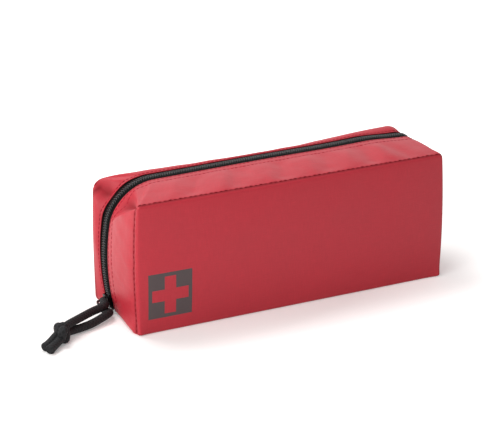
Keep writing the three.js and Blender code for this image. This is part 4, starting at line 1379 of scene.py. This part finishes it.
class BuildPlasterSpool(bpy.types.Operator):
    """Adhesive tape wound on its plastic spool"""
    bl_idname = "first_aid.build_plaster_spool"
    bl_label = "Plaster on its spool"

    def execute(self, context):
        plastic = grained("moulded white plastic", linear("#E9EAEA"), 0.4, 3.0, 0.02, 0.03)
        dress_nodes(plastic, "plaster_spool")
        material = woven_tape("adhesive plaster cloth", settings("colours").plaster, 0.6, 0.8)
        low, high = node_box("plaster_tape")
        middle = (low + high) / 2
        outer, inner, half = (high.x - low.x) / 2, 11.8, (high.y - low.y) / 2 - 0.1
        groove, bevel, turns, steps = 0.25, 0.5, 12, 72
        rings = [lerp(inner, outer - 0.4, k / turns) for k in range(turns + 1)]
        profile = [(inner, -half), (inner, half)]
        profile += [(rings[k], half - groove * (k % 2)) for k in range(1, turns + 1)]
        profile += [(outer, half - bevel), (outer, bevel - half)]
        profile += [(rings[turns - k], groove * (k % 2) - half) for k in range(turns)]
        profile.append(profile[0])

        def place(i, j):
            radius, depth = profile[j]
            angle = TURN * i / steps
            return Vector((middle.x + radius * math.cos(angle), middle.y + depth,
                           middle.z + radius * math.sin(angle)))

        wound = sheet_grid("plaster_tape_wound", steps, len(profile) - 1, place, (138.0, 66.0))
        merge_seam(wound)
        bpy.ops.object.shade_smooth_by_angle(angle=math.radians(35))
        finish_piece(wound, material, "plaster", "bag", "plaster_tape")
        return {"FINISHED"}


# Each packet: (what it is made of, how crumpled it is, seed of its creases)
PACKETS = {
    "gloves_packet": ("film", 0.9, 41.0),
    "wipes_packet": ("film", 0.5, 42.0),
    "plaster_strip_packet": ("paper", 0.4, 43.0),
    "wound_dressing_1": ("paper", 0.6, 44.0),
    "wound_dressing_2": ("paper", 0.6, 45.0),
    "compress_packet": ("paper", 0.7, 46.0),
    "triangular_bandage": ("film", 0.7, 47.0),
    "burn_sheet": ("film", 0.6, 48.0),
    "foil_blanket": ("foil", 0.7, 49.0),
}


class BuildPackets(bpy.types.Operator):
    """Sealed packets, pillowed over what is folded inside, with crimped edges"""
    bl_idname = "first_aid.build_packets"
    bl_label = "Packets"

    def execute(self, context):
        colours = settings("colours")
        finishes = {
            "film": crinkled_film("packet film", colours.film, 0.28),
            "paper": crinkled_film("packet paper", colours.paper, 0.7),
            "foil": crinkled_film("metallised film", linear("#C9B37A"), 0.25, 0.9),
        }
        seal, columns, rows = 4.0, 30, 26  # the seal is a packet's flat, crimped edge
        for name, (finish, crumple, seed) in PACKETS.items():
            low, high = node_box(name)
            size, middle = high - low, (high + low) / 2
            halves = []
            for side in (-1, 1):
                def place(i, j):
                    x, z = lerp(low.x, high.x, i / columns), lerp(low.z, high.z, j / rows)
                    edge = min(x - low.x, high.x - x, z - low.z, high.z - z)
                    if edge <= 0.001:  # the two halves meet
                        return Vector((x, middle.y, z))
                    crimp = 0.22 * math.sin(x * 2.1) * (min(z - low.z, high.z - z) < seal)
                    crown = smoothstep((edge - seal) / (size.y * 1.1)) * (size.y / 2 - 0.75)
                    crease = crumple * 0.5 * rumple(Vector((x, side * 9.0, z)), 9.0, seed)
                    crease = abs(crease) * smoothstep((edge - 1.0) / 8.0)
                    swell = max(0.3 + crown - crease * (0.4 if crown < 0.5 else 1.0), 0.2)
                    return Vector((x, middle.y + side * swell + crimp * clamp(edge), z))

                half = sheet_grid(f"{name}_{side}", columns, rows, place, (size.x, size.z))
                face_away(half, tuple(middle))
                halves.append(half)
            packet = join_pieces(name + "_sealed", halves)
            merge_seam(packet)
            make_smooth(packet)
            slot = "sachet_paper" if finish == "paper" else "sachet_film"
            finish_piece(packet, finishes[finish], slot, "bag", name)
        return {"FINISHED"}


LEAFLET_FLAT = (200.0, 84.0)


class BuildLeaflet(bpy.types.Operator):
    """The folded paper leaflet, left bare"""
    bl_idname = "first_aid.build_leaflet"
    bl_label = "Leaflet"

    def execute(self, context):
        low, high = node_box("leaflet")
        leaves, leaf_steps, fold_steps, rows = 3, 12, 6, 16
        pitch = (high.y - low.y - 0.4) / (leaves - 1)
        path = []
        for leaf in range(leaves):
            depth = low.y + 0.3 + leaf * pitch
            ends = (low.x + 0.6, high.x - 0.6) if leaf % 2 == 0 else (high.x - 0.6, low.x + 0.6)
            path += [(lerp(*ends, k / leaf_steps), depth) for k in range(leaf_steps + 1)]
            if leaf < leaves - 1:
                outward = 1 if leaf % 2 == 0 else -1
                path += [(ends[1] + outward * 0.5 * math.sin(math.pi * k / fold_steps),
                          depth + pitch * (1 - math.cos(math.pi * k / fold_steps)) / 2)
                         for k in range(1, fold_steps)]

        def place(i, j):
            x, depth = path[i]
            z = lerp(low.z + 0.2, high.z - 0.2, j / rows)
            wave = 0.12 * rumple(Vector((x, depth * 6, z)), 22.0, 51.0)
            return Vector((x, depth + wave, z))

        leaflet = sheet_grid("leaflet_folded", len(path) - 1, rows, place, LEAFLET_FLAT)
        give_thickness(leaflet, 0.18, 0)
        material = crinkled_film("leaflet paper", settings("colours").paper, 0.8)
        finish_piece(leaflet, material, "leaflet_paper", "bag", "leaflet")
        return {"FINISHED"}


class BuildScissors(bpy.types.Operator):
    """Stamped steel bandage scissors"""
    bl_idname = "first_aid.build_scissors"
    bl_label = "Scissors"

    def execute(self, context):
        steel = grained("brushed stainless steel", linear("#B4B8BC"), 0.3, 0.9, 0.02, 0.06,
                        metallic=1.0)
        dress_nodes(steel, "scissors_fixed_half", "scissors_moving_half", "scissors_rivet")
        return {"FINISHED"}


OPERATORS = (BuildStage, BuildPullCord, BuildFrontCloth, BuildGussets, BuildRearPanel, BuildBindings,
             BuildZipTapes, BuildZipCoils, BuildStitching, BuildZipMetal, BuildBandages,
             BuildPlasterSpool, BuildPackets, BuildLeaflet, BuildScissors)
GROUPS = {"bag": BagSizes, "zip": ZipSizes, "cord": CordSizes, "colours": BagColours}


class FirstAidPanel(bpy.types.Panel):
    """Builds the bag piece by piece"""
    bl_idname = "VIEW3D_PT_first_aid"
    bl_label = "First aid bag"
    bl_space_type = "VIEW_3D"
    bl_region_type = "UI"
    bl_category = "First Aid"

    def draw(self, context):
        for operator in OPERATORS:
            self.layout.operator(operator.bl_idname)
        for group in GROUPS:
            for key in settings(group).__annotations__:
                self.layout.prop(settings(group), key)


def register():
    for group, kind in GROUPS.items():
        bpy.utils.register_class(kind)
        setattr(bpy.types.Scene, "first_aid_" + group, bpy.props.PointerProperty(type=kind))
    for kind in (*OPERATORS, FirstAidPanel):
        bpy.utils.register_class(kind)


def unregister():
    for kind in (FirstAidPanel, *reversed(OPERATORS)):
        bpy.utils.unregister_class(kind)
    for group, kind in GROUPS.items():
        delattr(bpy.types.Scene, "first_aid_" + group)
        bpy.utils.unregister_class(kind)


def main():
    register()
    for operator in OPERATORS:
        group, name = operator.bl_idname.split(".")
        if getattr(getattr(bpy.ops, group), name)() != {"FINISHED"}:
            raise RuntimeError(operator.bl_label + " wasn't built")


if __name__ == "__main__":
    main()
